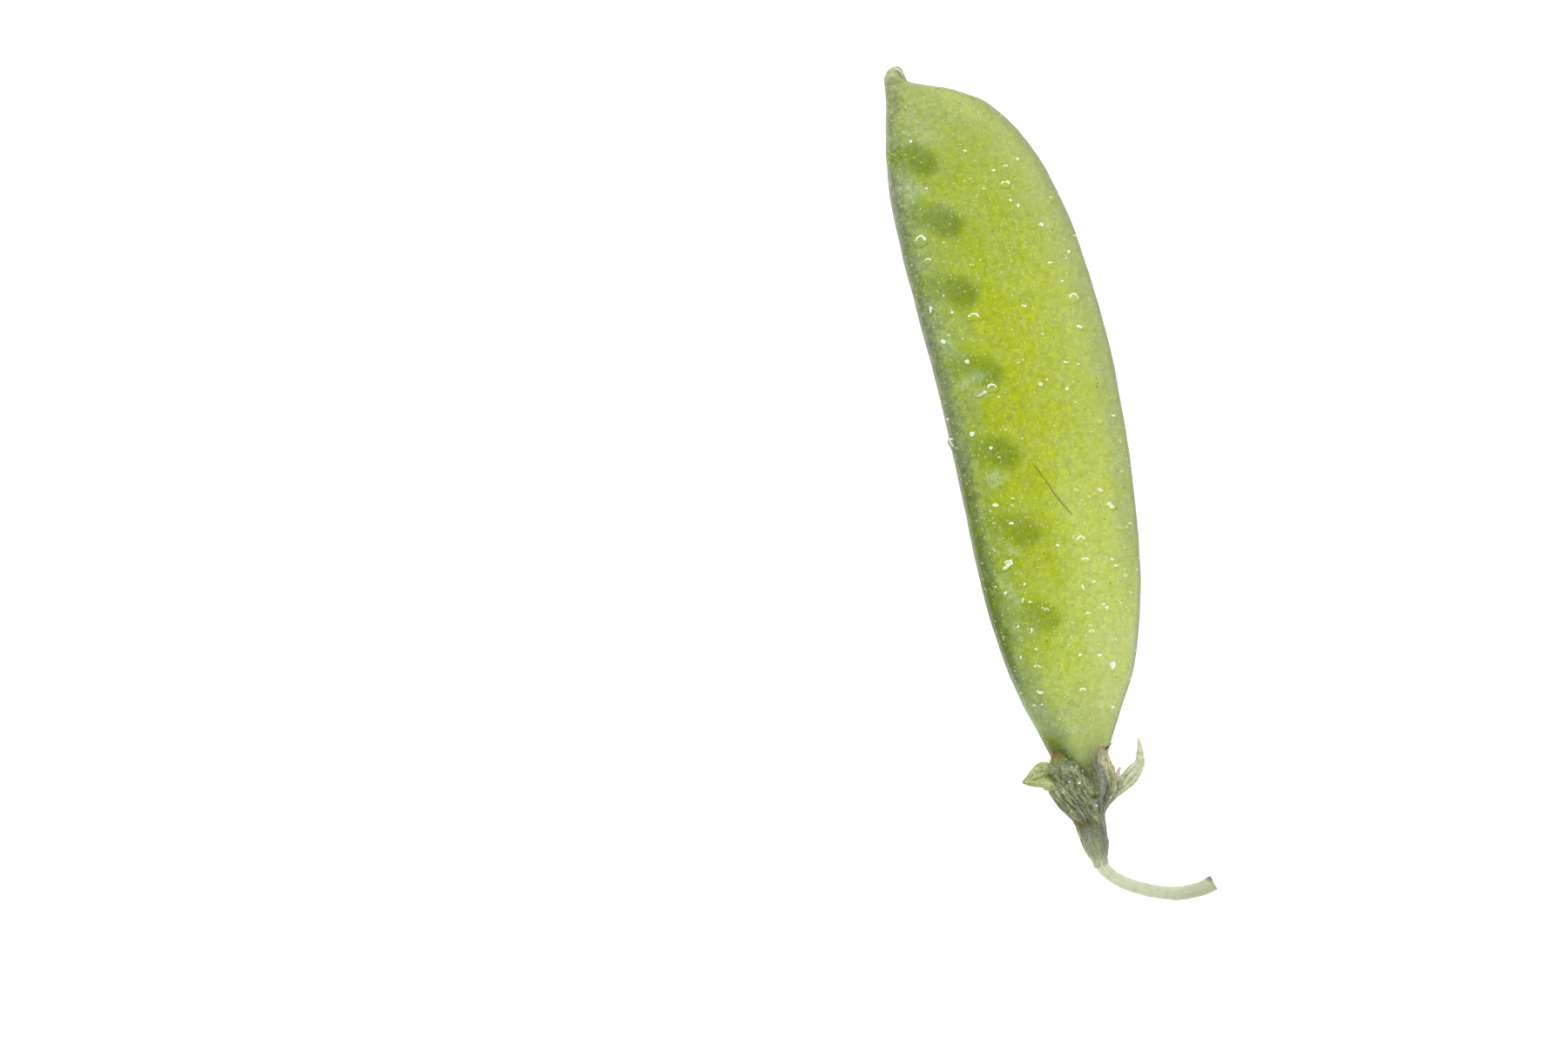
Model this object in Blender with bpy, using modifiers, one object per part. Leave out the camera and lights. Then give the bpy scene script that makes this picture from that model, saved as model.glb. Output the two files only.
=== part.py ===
"""Snow pea pod with seven young peas, its calyx and its stalk, lying on its side.

The pod's own frame: Y runs from the calyx to the beak, X from the seed-bearing seam (ventral)
to the back seam (dorsal), and Z is up from the surface that the pod lies on.
Sizes are in millimetres, and MM turns them into metres where a mesh or a curve is made.
"""

import math

import bmesh
import bpy
from mathutils import Vector

MM = 0.001
MERGE_DISTANCE = 0.001  # between points of a turned piece that are one on its axis

# The parent empty puts the middle of the object's footprint at the world origin.
FOOTPRINT_MIDDLE = Vector((4.65, 32.2, 0.0))

# Where the pod is along Y, its two edges in X, half its thickness, and the height of its middle.
POD_COLUMNS = ("ventral", "dorsal", "half", "middle")
POD_STATIONS = (
    (-2.6, -1.3, 1.4, 1.05, 2.35),
    (0.5, -1.9, 2.9, 1.30, 2.35),
    (6.0, -3.1, 6.25, 1.90, 2.35),
    (10.0, -4.05, 8.8, 2.25, 2.40),
    (15.0, -4.75, 10.8, 2.50, 2.43),
    (21.0, -5.0, 12.5, 2.60, 2.48),
    (35.0, -4.45, 14.65, 2.60, 2.48),
    (46.0, -4.05, 15.4, 2.60, 2.48),
    (57.0, -4.1, 15.0, 2.60, 2.48),
    (65.0, -3.85, 13.7, 2.50, 2.40),
    (70.0, -3.15, 11.85, 2.30, 2.20),
    (74.0, -2.2, 9.25, 1.95, 1.90),
    (76.4, -1.5, 5.7, 1.60, 1.65),
    (78.4, -1.1, 1.35, 1.00, 1.55),
    (79.2, -0.85, 1.15, 0.90, 1.60),
    (79.9, -0.3, 1.05, 0.60, 1.70),
    (80.2, 0.15, 0.8, 0.25, 1.75),
)
POD_RINGS = 54
POD_SIDES = 36
RING_CROWDING = 0.7  # share of the ring spacing that crowds towards both ends
EDGE_ROUNDING = 0.42  # lower is squarer at the two seams
DORSAL_THINNING = 0.46  # how much thinner the back seam is than the seed-bearing one
THINNING_POWER = 1.5  # higher keeps the seed-bearing half thick for longer

# The hollow, and the narrow channel that opens it through the neck, inside the calyx.
WALL = 0.75
SEAM_WALL_VENTRAL = 1.35
SEAM_WALL_DORSAL = 1.7
HOLLOW_START = 4.0
HOLLOW_END = 76.0
HOLLOW_RINGS = 40
HOLLOW_SIDES = 24
HOLLOW_ROUNDING = 0.6
HOLLOW_FLOOR = 0.75
HOLLOW_END_LENGTH = 5.0  # over which each end of the hollow closes
CHANNEL_RADIUS = 0.45
CHANNEL_END = -3.2

# Peas: where each sits, the same size for all but the two outer ones.
PEA_PLACES = (
    (0.9, 18.3),
    (1.1, 27.8),
    (1.1, 36.5),
    (1.6, 45.6),
    (1.3, 54.6),
    (1.6, 62.4),
    (0.7, 69.5),
)
PEA_HALF = Vector((2.0, 1.7, 1.25))
PEA_END_SCALE = 0.9
PEA_SLANT = math.radians(25)  # the seed stalks lean towards the beak
PEA_SIDES = 14
PEA_PROFILE_STEPS = 9
FUNICLE_RADIUS = 0.35
FUNICLE_GAP = 0.7  # between the seed stalk's end and the wall
PEA_CLEARANCE = 0.2
BULGE_HEIGHT = 0.6
BULGE_WIDTH = 2.7
BULGE_LENGTH = 2.3

# Calyx cup: a turned profile of (radius, distance along Y), from the floor of the cup up its
# inside, over the rim and down to the stalk. It is pressed a little flat.
CUP_PROFILE = (
    (0.0, -4.7),
    (0.6, -4.6),
    (1.5, -4.0),
    (2.0, -3.1),
    (2.45, -3.1),
    (2.0, -4.2),
    (1.72, -5.2),
    (1.6, -6.2),
    (1.42, -7.2),
    (1.0, -8.3),
    (0.74, -9.1),
    (0.0, -9.1),
)
CUP_FLATTENING = 0.86
CUP_MIDDLE = Vector((-0.15, 0.0, 2.3))
CUP_SIDES = 24

# Sepals: (x, y, z, half width) along the middle, the way the inner face looks, and how far the
# edges droop away from it at the widest place.
SEPAL_THICKNESS = 0.35
SEPALS = {
    "sepal_left": {
        "spine": (
            (-2.75, -2.35, 2.6, 0.35),
            (-2.9, -1.1, 2.6, 0.5),
            (-3.35, 0.45, 2.55, 0.8),
            (-4.4, 1.35, 2.4, 1.1),
            (-6.0, 1.32, 2.1, 0.12),
        ),
        "facing": (0.3, 0.0, 1.0),
        "droop": 0.1,
    },
    "sepal_front_left": {
        "spine": (
            (-0.75, -2.25, 4.55, 1.95),
            (-1.5, -0.9, 4.75, 2.2),
            (-1.8, 1.4, 4.8, 1.55),
            (-1.8, 3.45, 4.7, 0.35),
        ),
        "facing": (-0.1, 0.0, 1.0),
        "droop": 0.5,
    },
    "sepal_front_right": {
        "spine": (
            (1.95, -2.4, 4.1, 0.7),
            (2.65, -0.8, 4.3, 1.2),
            (2.95, 1.2, 4.4, 0.9),
            (3.3, 2.95, 4.4, 0.2),
        ),
        "facing": (0.25, 0.0, 1.0),
        "droop": 0.2,
    },
    "sepal_right": {
        "spine": (
            (2.95, -2.9, 2.3, 0.45),
            (4.6, -1.8, 2.4, 0.7),
            (6.1, -0.8, 2.7, 0.65),
            (6.85, 0.7, 3.0, 0.4),
            (7.3, 2.7, 3.1, 0.1),
        ),
        "facing": (-0.2, 0.0, 1.0),
        "droop": 0.15,
    },
    "sepal_under": {
        "spine": (
            (0.3, -2.6, 0.4, 1.2),
            (0.4, -0.6, 0.38, 1.5),
            (0.5, 1.6, 0.34, 0.9),
            (0.6, 3.4, 0.3, 0.15),
        ),
        "facing": (0.0, 0.0, 1.0),
        "droop": 0.0,
    },
}
SEPAL_ROWS = 12
SEPAL_COLUMNS = 6

# Tubes: (x, y, z, radius) along the middle of each.
STALK = (
    (-0.1, -9.6, 2.3, 0.70),
    (0.5, -10.9, 2.2, 0.69),
    (1.9, -12.3, 2.0, 0.70),
    (3.7, -13.45, 1.7, 0.71),
    (5.8, -14.35, 1.45, 0.72),
    (7.7, -14.85, 1.2, 0.74),
    (9.6, -14.95, 1.0, 0.78),
    (11.25, -14.65, 0.95, 0.86),
)
STAMEN_SHREDS = (
    ((3.25, -1.7, 3.25, 0.2), (3.9, -0.7, 3.2, 0.24), (4.5, 0.2, 3.15, 0.14)),
    ((3.1, 2.2, 3.75, 0.14), (3.7, 2.75, 3.75, 0.13), (4.4, 3.0, 3.85, 0.08)),
)
TUBE_STEP = 0.35  # between a tube's rings, as a share of the spacing of its points
TUBE_BEVEL_RESOLUTION = 3

# Each finish: its base colour and its roughness.
FINISHES = {
    "pod_skin": ((0.42, 0.54, 0.07), 0.38),
    "pea_skin": ((0.30, 0.45, 0.06), 0.35),
    "calyx_green": ((0.16, 0.20, 0.08), 0.6),
    "stalk_green": ((0.45, 0.53, 0.30), 0.5),
    "dried_brown": ((0.36, 0.24, 0.17), 0.8),
}


def clear_scene():
    for thing in list(bpy.data.objects):
        bpy.data.objects.remove(thing, do_unlink=True)


def finish(name):
    material = bpy.data.materials.get(name)
    if material:
        return material
    colour, roughness = FINISHES[name]
    material = bpy.data.materials.new(name)
    material.use_nodes = True
    shader = material.node_tree.nodes["Principled BSDF"]
    shader.inputs["Base Color"].default_value = (*colour, 1.0)
    shader.inputs["Roughness"].default_value = roughness
    shader.inputs["Metallic"].default_value = 0.0
    return material


def smooth_value(rows, column, at):
    """Value of a column at a place along the rows, on a smooth curve that doesn't overshoot."""
    places = [row[0] for row in rows]
    values = [row[column] for row in rows]
    at = min(max(at, places[0]), places[-1])
    slopes = [(values[i + 1] - values[i]) / (places[i + 1] - places[i]) for i in range(len(rows) - 1)]
    inner = [0.0 if a * b <= 0 else 2 * a * b / (a + b) for a, b in zip(slopes, slopes[1:])]
    tangents = [slopes[0], *inner, slopes[-1]]
    i = max(k for k in range(len(rows) - 1) if places[k] <= at)
    span = places[i + 1] - places[i]
    t = (at - places[i]) / span
    blend = t * t * (3 - 2 * t)
    start_pull = t * (1 - t) ** 2 * tangents[i] * span
    end_pull = t * t * (1 - t) * tangents[i + 1] * span
    return values[i] * (1 - blend) + values[i + 1] * blend + start_pull - end_pull


def pod_section(along):
    return {name: smooth_value(POD_STATIONS, i + 1, along) for i, name in enumerate(POD_COLUMNS)}


def pea_bulge(x, y):
    total = 0.0
    for pea_x, pea_y in PEA_PLACES:
        off = ((x - pea_x) / BULGE_WIDTH) ** 2 + ((y - pea_y) / BULGE_LENGTH) ** 2
        total += BULGE_HEIGHT * math.exp(-off)
    return total


def pod_heights(section, x, y):
    """Height of the pod's middle surface at a point, and half its thickness there."""
    across = (x - section["ventral"]) / (section["dorsal"] - section["ventral"])
    across = min(max(across, 0.0), 1.0)
    taper = 1 - DORSAL_THINNING * across**THINNING_POWER
    rounding = (4 * across * (1 - across)) ** (EDGE_ROUNDING / 2)
    middle = section["middle"] - section["half"] * (1 - taper)
    half = (section["half"] * taper + pea_bulge(x, y)) * rounding
    return middle, half


def outer_ring(along):
    """Closed ring of points round the pod, flat where it would pass through the ground."""
    section = pod_section(along)
    width = section["dorsal"] - section["ventral"]
    ring = []
    for k in range(POD_SIDES):
        turn = 2 * math.pi * k / POD_SIDES
        x = section["ventral"] + width * (1 - math.cos(turn)) / 2
        middle, half = pod_heights(section, x, along)
        side = 1 if turn < math.pi else -1
        if k in (0, POD_SIDES // 2):
            side = 0
        ring.append(Vector((x, along, max(middle + side * half, 0.0))))
    return ring


def hollow_ring(along):
    """Ring round the hollow, which narrows to the channel at the neck."""
    section = pod_section(along)
    low = section["ventral"] + SEAM_WALL_VENTRAL
    high = section["dorsal"] - SEAM_WALL_DORSAL
    from_ends = min(along - HOLLOW_START, HOLLOW_END - along)
    share = min(max(from_ends / HOLLOW_END_LENGTH, 0.0), 1.0)
    opened = math.sqrt(share * (2 - share))
    centre = (low + high) / 2
    reach = max((high - low) / 2 * opened, CHANNEL_RADIUS)
    ring = []
    for k in range(HOLLOW_SIDES):
        turn = 2 * math.pi * k / HOLLOW_SIDES
        x = centre - reach * math.cos(turn)
        middle, half = pod_heights(section, x, along)
        closing = abs(math.sin(turn)) ** HOLLOW_ROUNDING
        room = max((half - WALL) * opened, CHANNEL_RADIUS)
        side = 1 if turn < math.pi else -1
        ring.append(Vector((x, along, max(middle + side * room * closing, HOLLOW_FLOOR))))
    return ring


def loft(name, rings):
    """Closed mesh through rings that all have the same number of points."""
    build = bmesh.new()
    grid = [[build.verts.new(point * MM) for point in ring] for ring in rings]
    sides = len(grid[0])
    for here, ahead in zip(grid, grid[1:]):
        for k in range(sides):
            follow = (k + 1) % sides
            build.faces.new((here[k], here[follow], ahead[follow], ahead[k]))
    build.faces.new(grid[0])
    build.faces.new(grid[-1])
    bmesh.ops.recalc_face_normals(build, faces=build.faces)
    mesh = bpy.data.meshes.new(name)
    build.to_mesh(mesh)
    build.free()
    mesh.shade_smooth()
    return mesh


def place(name, data, finish_name, parent, collection):
    thing = bpy.data.objects.new(name, data)
    collection.objects.link(thing)
    thing.parent = parent
    data.materials.append(finish(finish_name))
    return thing


def crowded(share):
    """Turns an even step from 0 to 1 into one that is shorter near both ends."""
    eased = (1 - math.cos(math.pi * share)) / 2
    return RING_CROWDING * eased + (1 - RING_CROWDING) * share


def make_hollow_cutter(parent, cutters):
    length = HOLLOW_END - HOLLOW_START
    steps = [HOLLOW_START + length * crowded(i / HOLLOW_RINGS) for i in range(HOLLOW_RINGS + 1)]
    rings = [hollow_ring(along) for along in (CHANNEL_END, *steps)]
    cutter = bpy.data.objects.new("hollow_cutter", loft("hollow_cutter", rings))
    cutters.objects.link(cutter)
    cutter.parent = parent
    cutter.hide_render = True
    cutter.display_type = "WIRE"
    return cutter


def make_pod_wall(parent, parts, cutters):
    start, end = POD_STATIONS[0][0], POD_STATIONS[-1][0]
    rings = [outer_ring(start + (end - start) * crowded(i / POD_RINGS)) for i in range(POD_RINGS + 1)]
    pod = place("pod_wall", loft("pod_wall", rings), "pod_skin", parent, parts)
    cut = pod.modifiers.new("hollow", "BOOLEAN")
    cut.operation = "DIFFERENCE"
    cut.solver = "EXACT"
    cut.object = make_hollow_cutter(parent, cutters)


def make_turned(name, profile, sides, finish_name, parent, parts):
    """A profile of (radius, height) turned about Z, which starts and ends on the axis."""
    mesh = bpy.data.meshes.new(name)
    corners = [Vector((radius, 0.0, height)) * MM for radius, height in profile]
    mesh.from_pydata(corners, [(i, i + 1) for i in range(len(corners) - 1)], [])
    turned = place(name, mesh, finish_name, parent, parts)
    screw = turned.modifiers.new("turn", "SCREW")
    screw.axis = "Z"
    screw.steps = sides
    screw.render_steps = sides
    screw.use_merge_vertices = True
    screw.merge_threshold = MERGE_DISTANCE * MM
    screw.use_smooth_shade = True
    return turned


def pea_profile(scale, stalk_length):
    """Half outline of a pea with its seed stalk upwards: down the stalk, then round the pea."""
    radius = PEA_HALF.y * scale
    reach = PEA_HALF.x * scale
    join = math.asin(FUNICLE_RADIUS / radius)
    points = [(0.0, reach + stalk_length), (FUNICLE_RADIUS, reach + stalk_length)]
    for i in range(PEA_PROFILE_STEPS):
        angle = join + (math.pi - join) * i / PEA_PROFILE_STEPS
        points.append((radius * math.sin(angle), reach * math.cos(angle)))
    points.append((0.0, -reach))
    return points


def make_pea(number, x, y, parent, parts):
    """One pea, laid so that its seed stalk reaches towards the ventral seam."""
    section = pod_section(y)
    scale = PEA_END_SCALE if number in (1, len(PEA_PLACES)) else 1.0
    to_wall = (x - section["ventral"] - SEAM_WALL_VENTRAL) / math.cos(PEA_SLANT)
    stalk_length = to_wall - PEA_HALF.x * scale - FUNICLE_GAP
    profile = pea_profile(scale, stalk_length)
    pea = make_turned(f"pea_{number}", profile, PEA_SIDES, "pea_skin", parent, parts)
    middle, _ = pod_heights(section, x, y)
    lowest_middle = HOLLOW_FLOOR + PEA_HALF.z * scale + PEA_CLEARANCE
    pea.location = Vector((x, y, max(middle, lowest_middle))) * MM
    pea.rotation_euler = (0.0, -math.pi / 2, -PEA_SLANT)
    pea.scale.x = PEA_HALF.z / PEA_HALF.y


def make_calyx_cup(parent, parts):
    cup = make_turned("calyx_cup", CUP_PROFILE, CUP_SIDES, "calyx_green", parent, parts)
    cup.location = CUP_MIDDLE * MM
    cup.rotation_euler.x = -math.pi / 2
    cup.scale.y = CUP_FLATTENING


def along_points(points, steps):
    """Smooth values through the points' rows, evenly in their numbering."""
    numbered = [(i, *point) for i, point in enumerate(points)]
    last = len(points) - 1
    return [[smooth_value(numbered, c, last * i / steps) for c in range(1, 5)] for i in range(steps + 1)]


def make_sepal(name, plan, parent, parts):
    """An open sheet across the spine, given its thickness by Solidify."""
    mesh = bpy.data.meshes.new(name)
    build = bmesh.new()
    facing = Vector(plan["facing"])
    widest = max(point[3] for point in plan["spine"])
    path = [(Vector(row[:3]), row[3]) for row in along_points(plan["spine"], SEPAL_ROWS)]
    grid = []
    for i, (middle, half_width) in enumerate(path):
        ahead = path[min(i + 1, SEPAL_ROWS)][0] - path[max(i - 1, 0)][0]
        side = ahead.cross(facing).normalized()
        row = []
        for k in range(SEPAL_COLUMNS + 1):
            across = 2 * k / SEPAL_COLUMNS - 1
            droop = facing.normalized() * plan["droop"] * across * across * half_width / widest
            row.append(build.verts.new((middle + side * across * half_width - droop) * MM))
        grid.append(row)
    for here, ahead in zip(grid, grid[1:]):
        for k in range(SEPAL_COLUMNS):
            build.faces.new((here[k], here[k + 1], ahead[k + 1], ahead[k]))
    bmesh.ops.recalc_face_normals(build, faces=build.faces)
    build.to_mesh(mesh)
    build.free()
    mesh.shade_smooth()
    sepal = place(name, mesh, "calyx_green", parent, parts)
    solid = sepal.modifiers.new("thickness", "SOLIDIFY")
    solid.thickness = SEPAL_THICKNESS * MM
    solid.offset = 0.0


def make_tube(name, points, finish_name, parent, parts):
    curve = bpy.data.curves.new(name, "CURVE")
    curve.dimensions = "3D"
    curve.bevel_depth = MM
    curve.bevel_resolution = TUBE_BEVEL_RESOLUTION
    curve.use_fill_caps = True
    path = along_points(points, round((len(points) - 1) / TUBE_STEP))
    line = curve.splines.new("POLY")
    line.points.add(len(path) - 1)
    for spot, (x, y, z, radius) in zip(line.points, path):
        spot.co = (x * MM, y * MM, z * MM, 1.0)
        spot.radius = radius
    place(name, curve, finish_name, parent, parts)


def main():
    clear_scene()
    parts = bpy.data.collections.new("snow_pea_pod")
    cutters = bpy.data.collections.new("cutters")
    for collection in (parts, cutters):
        bpy.context.scene.collection.children.link(collection)
    frame = bpy.data.objects.new("pod_frame", None)
    parts.objects.link(frame)
    frame.location = -FOOTPRINT_MIDDLE * MM
    make_pod_wall(frame, parts, cutters)
    for number, (x, y) in enumerate(PEA_PLACES, 1):
        make_pea(number, x, y, frame, parts)
    make_calyx_cup(frame, parts)
    for name, plan in SEPALS.items():
        make_sepal(name, plan, frame, parts)
    make_tube("stalk", STALK, "stalk_green", frame, parts)
    for number, shred in enumerate(STAMEN_SHREDS, 1):
        make_tube(f"stamen_shred_{number}", shred, "dried_brown", frame, parts)


main()
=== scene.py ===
"""The looks of a snow pea pod: its skin, peas, withered calyx, cut stalk and the water drops on it.

Places and sizes are in millimetres in the pod's own frame: Y runs from the calyx to the beak,
X from the seed-bearing seam (ventral) to the back seam (dorsal), and Z is up from what the pod
lies on. Each mesh is moved from there into the world, in metres, when it is finished.
"""

import math
from functools import partialmethod, reduce
from operator import mul

import bmesh
import bpy
from mathutils import Matrix, Vector, noise


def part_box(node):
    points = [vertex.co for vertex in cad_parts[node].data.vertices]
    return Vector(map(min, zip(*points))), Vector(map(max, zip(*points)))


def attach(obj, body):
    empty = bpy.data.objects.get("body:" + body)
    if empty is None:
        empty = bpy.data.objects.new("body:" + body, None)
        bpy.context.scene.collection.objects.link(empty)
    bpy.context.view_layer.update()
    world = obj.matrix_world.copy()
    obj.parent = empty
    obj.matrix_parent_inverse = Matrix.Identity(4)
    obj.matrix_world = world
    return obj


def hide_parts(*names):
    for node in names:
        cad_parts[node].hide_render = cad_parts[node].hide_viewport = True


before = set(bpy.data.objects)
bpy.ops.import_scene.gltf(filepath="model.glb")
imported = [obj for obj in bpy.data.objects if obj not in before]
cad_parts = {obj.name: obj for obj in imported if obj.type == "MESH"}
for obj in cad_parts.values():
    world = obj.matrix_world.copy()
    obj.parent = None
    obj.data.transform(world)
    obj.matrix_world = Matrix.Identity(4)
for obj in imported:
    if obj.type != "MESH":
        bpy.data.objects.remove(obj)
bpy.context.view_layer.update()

MM = 0.001

# ---- the pod's sizes

# Where the pod is along Y, its two edges in X, half its thickness, and the height of its middle.
POD_STATIONS = (
    (-2.6, -1.3, 1.4, 1.05, 2.35), (0.5, -1.9, 2.9, 1.30, 2.35), (6.0, -3.1, 6.25, 1.90, 2.35),
    (10.0, -4.05, 8.8, 2.25, 2.40), (15.0, -4.75, 10.8, 2.50, 2.43), (21.0, -5.0, 12.5, 2.60, 2.48),
    (35.0, -4.45, 14.65, 2.60, 2.48), (46.0, -4.05, 15.4, 2.60, 2.48), (57.0, -4.1, 15.0, 2.60, 2.48),
    (65.0, -3.85, 13.7, 2.50, 2.40), (70.0, -3.15, 11.85, 2.30, 2.20), (74.0, -2.2, 9.25, 1.95, 1.90),
    (76.4, -1.5, 5.9, 1.60, 1.65), (77.6, -1.25, 3.2, 1.25, 1.55), (78.5, -1.12, 1.45, 1.00, 1.55),
    (79.2, -1.0, 1.3, 0.92, 1.60), (79.8, -0.7, 1.2, 0.72, 1.65), (80.15, -0.25, 0.95, 0.42, 1.70),
)
POD_TIP = (80.3, 0.35, 0.35, 0.0, 1.72)
POD_LENGTH = 80.2  # from the origin to the end of the beak in the frame
RINGS = 300
RING_CROWDING = 0.7  # share of the ring spacing that crowds towards both ends

PEA_PLACES = (
    (0.9, 18.3), (1.1, 27.8), (1.1, 36.5), (1.6, 45.6), (1.3, 54.6), (1.6, 62.4), (0.7, 69.5),
)
PEA_DARKNESS = (0.6, 0.68, 0.82, 0.72, 0.9, 0.95, 1.0)  # of each one's shadow on the skin
PEA_HALF = Vector((2.0, 1.7, 1.25))
PEA_END_SCALE = 0.9
PEA_SLANT = math.radians(25)
SEED_STALK_RADIUS = 0.35
SEED_STALK_END = 2.05  # from the ventral edge to the seed stalk's end

CUP_MIDDLE = Vector((-0.15, 0.0, 2.3))
CUP_FLATTENING = 0.86
CUP_PROFILE = (
    (0.0, -4.7), (0.6, -4.6), (1.5, -4.0), (2.1, -3.1), (2.3, -2.95), (2.42, -3.15), (1.9, -4.2),
    (1.55, -5.2), (1.46, -6.2), (1.44, -7.2), (1.12, -8.3), (0.84, -9.1), (0.74, -9.8), (0.0, -9.85),
)

# ---- where the pod lies


def pod_origin():
    """The pod frame's origin in the world: the cup is centred on it, and the beak ends the pod."""
    cup_low, cup_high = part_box("calyx_cup")
    _, pod_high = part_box("pod_wall")
    x = (cup_low.x + cup_high.x) / 2 - CUP_MIDDLE.x * MM
    y = pod_high.y - POD_LENGTH * MM
    return Vector((x, y, 0.0))


ORIGIN = pod_origin()
TO_WORLD = Matrix.Translation(ORIGIN) @ Matrix.Scale(MM, 4)


# ---- writing node trees


class Field:
    """A node's output that adds and multiplies like a number, as Math nodes in its tree."""

    def __init__(self, tree, socket):
        self.tree = tree
        self.socket = socket

    def out(self, name):
        return Field(self.tree, self.socket.node.outputs[name])

    def math(self, operation, *others):
        return add(self.tree, "ShaderNodeMath", dict(enumerate((self, *others))), operation=operation)

    def vector_math(self, operation, other):
        key = "Scale" if operation == "SCALE" else 1
        return add(self.tree, "ShaderNodeVectorMath", {0: self, key: other}, operation=operation)

    def __rsub__(self, other):
        return -self + other

    __add__ = __radd__ = partialmethod(math, "ADD")
    __sub__ = partialmethod(math, "SUBTRACT")
    __mul__ = __rmul__ = partialmethod(math, "MULTIPLY")
    __truediv__ = partialmethod(math, "DIVIDE")
    __pow__ = partialmethod(math, "POWER")
    __neg__ = partialmethod(math, "MULTIPLY", -1.0)


def add(tree, kind, inputs=None, output=0, **settings):
    """Adds a node with its settings and inputs, and gives one of its outputs."""
    node = tree.nodes.new(kind)
    for name, value in settings.items():
        setattr(node, name, value)
    for key, value in (inputs or {}).items():
        plug(tree, node.inputs[key], value)
    return Field(tree, node.outputs[output])


def plug(tree, socket, value):
    if isinstance(value, Field):
        tree.links.new(value.socket, socket)
    else:
        socket.default_value = value


def step(field, low, high):
    """0 below low and 1 above high, eased between them. High may be the lower of the two."""
    inputs = {"Value": field, "From Min": low, "From Max": high}
    return add(field.tree, "ShaderNodeMapRange", inputs, interpolation_type="SMOOTHSTEP")


def bell(field, width):
    """1 where the field is 0, falling to nothing over about twice the width on both sides."""
    scaled = field / width
    return add(field.tree, "ShaderNodeMath", {0: math.e, 1: -(scaled * scaled)}, operation="POWER")


def vector(tree, x=0.0, y=0.0, z=0.0):
    return add(tree, "ShaderNodeCombineXYZ", {"X": x, "Y": y, "Z": z})


def split(field):
    parts = add(field.tree, "ShaderNodeSeparateXYZ", {0: field})
    return parts, parts.out("Y"), parts.out("Z")


def grain(where, scale, detail=2.0, roughness=0.5, distortion=0.0):
    """Soft noise about 0.5, with its scale in lumps for each unit of the coordinate."""
    inputs = {"Vector": where, "Scale": scale, "Detail": detail}
    inputs |= {"Roughness": roughness, "Distortion": distortion}
    return add(where.tree, "ShaderNodeTexNoise", inputs)


def voronoi(where, scale, **settings):
    return add(where.tree, "ShaderNodeTexVoronoi", {"Vector": where, "Scale": scale}, **settings)


# ---- smooth curves through rows


def smooth_value(rows, column, at):
    """Value of a column at a place along the rows, on a smooth curve that doesn't overshoot."""
    places = [row[0] for row in rows]
    values = [row[column] for row in rows]
    at = min(max(at, places[0]), places[-1])
    slopes = [(values[i + 1] - values[i]) / (places[i + 1] - places[i]) for i in range(len(rows) - 1)]
    inner = [0.0 if a * b <= 0 else 2 * a * b / (a + b) for a, b in zip(slopes, slopes[1:])]
    tangents = [slopes[0], *inner, slopes[-1]]
    i = max(k for k in range(len(rows) - 1) if places[k] <= at)
    span = places[i + 1] - places[i]
    t = (at - places[i]) / span
    blend = t * t * (3 - 2 * t)
    start_pull = t * (1 - t) ** 2 * tangents[i] * span
    end_pull = t * t * (1 - t) * tangents[i + 1] * span
    return values[i] * (1 - blend) + values[i + 1] * blend + start_pull - end_pull


def clamp(value):
    return min(max(value, 0.0), 1.0)


def smooth_share(value, low, high):
    share = clamp((value - low) / (high - low))
    return share * share * (3 - 2 * share)


def along_points(points, steps):
    """Smooth values through the points' rows, evenly in their numbering."""
    numbered = [(i, *point) for i, point in enumerate(points)]
    last = len(points) - 1
    columns = range(1, len(points[0]) + 1)
    return [[smooth_value(numbered, c, last * i / steps) for c in columns] for i in range(steps + 1)]


def crowded(share):
    """Turns an even step from 0 to 1 into one that is shorter near both ends."""
    eased = (1 - math.cos(math.pi * share)) / 2
    return RING_CROWDING * eased + (1 - RING_CROWDING) * share


# ---- geometry trees and meshes

SOCKET_KINDS = {
    int: "NodeSocketInt",
    float: "NodeSocketFloat",
    bpy.types.Object: "NodeSocketObject",
    bpy.types.Material: "NodeSocketMaterial",
}


def start_tree(name, **kinds):
    """A geometry tree with a named input for each size. Gives the tree and its inputs by name."""
    tree = bpy.data.node_groups.new(name, "GeometryNodeTree")
    tree.interface.new_socket(name="start", in_out="INPUT", socket_type="NodeSocketGeometry")
    for label, kind in (kinds | {"finish": bpy.types.Material}).items():
        tree.interface.new_socket(name=label, in_out="INPUT", socket_type=SOCKET_KINDS[kind])
    tree.interface.new_socket(name="result", in_out="OUTPUT", socket_type="NodeSocketGeometry")
    entry = tree.nodes.new("NodeGroupInput")
    return tree, {socket.name: Field(tree, socket) for socket in entry.outputs if socket.name}


def end_tree(geometry, finish):
    """Ends a tree with its instances made real, its faces smooth and its material set."""
    tree = geometry.tree
    real = add(tree, "GeometryNodeRealizeInstances", {"Geometry": geometry})
    smooth = add(tree, "GeometryNodeSetShadeSmooth", {"Geometry": real})
    painted = add(tree, "GeometryNodeSetMaterial", {"Geometry": smooth, "Material": finish})
    plug(tree, tree.nodes.new("NodeGroupOutput").inputs["result"], painted)
    return tree


def store(geometry, **fields):
    """Keeps fields on the points of a geometry, each under its name."""
    for name, field in fields.items():
        inputs = {"Geometry": geometry, "Name": name, "Value": field}
        geometry = add(geometry.tree, "GeometryNodeStoreNamedAttribute", inputs, domain="POINT")
    return geometry


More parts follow.
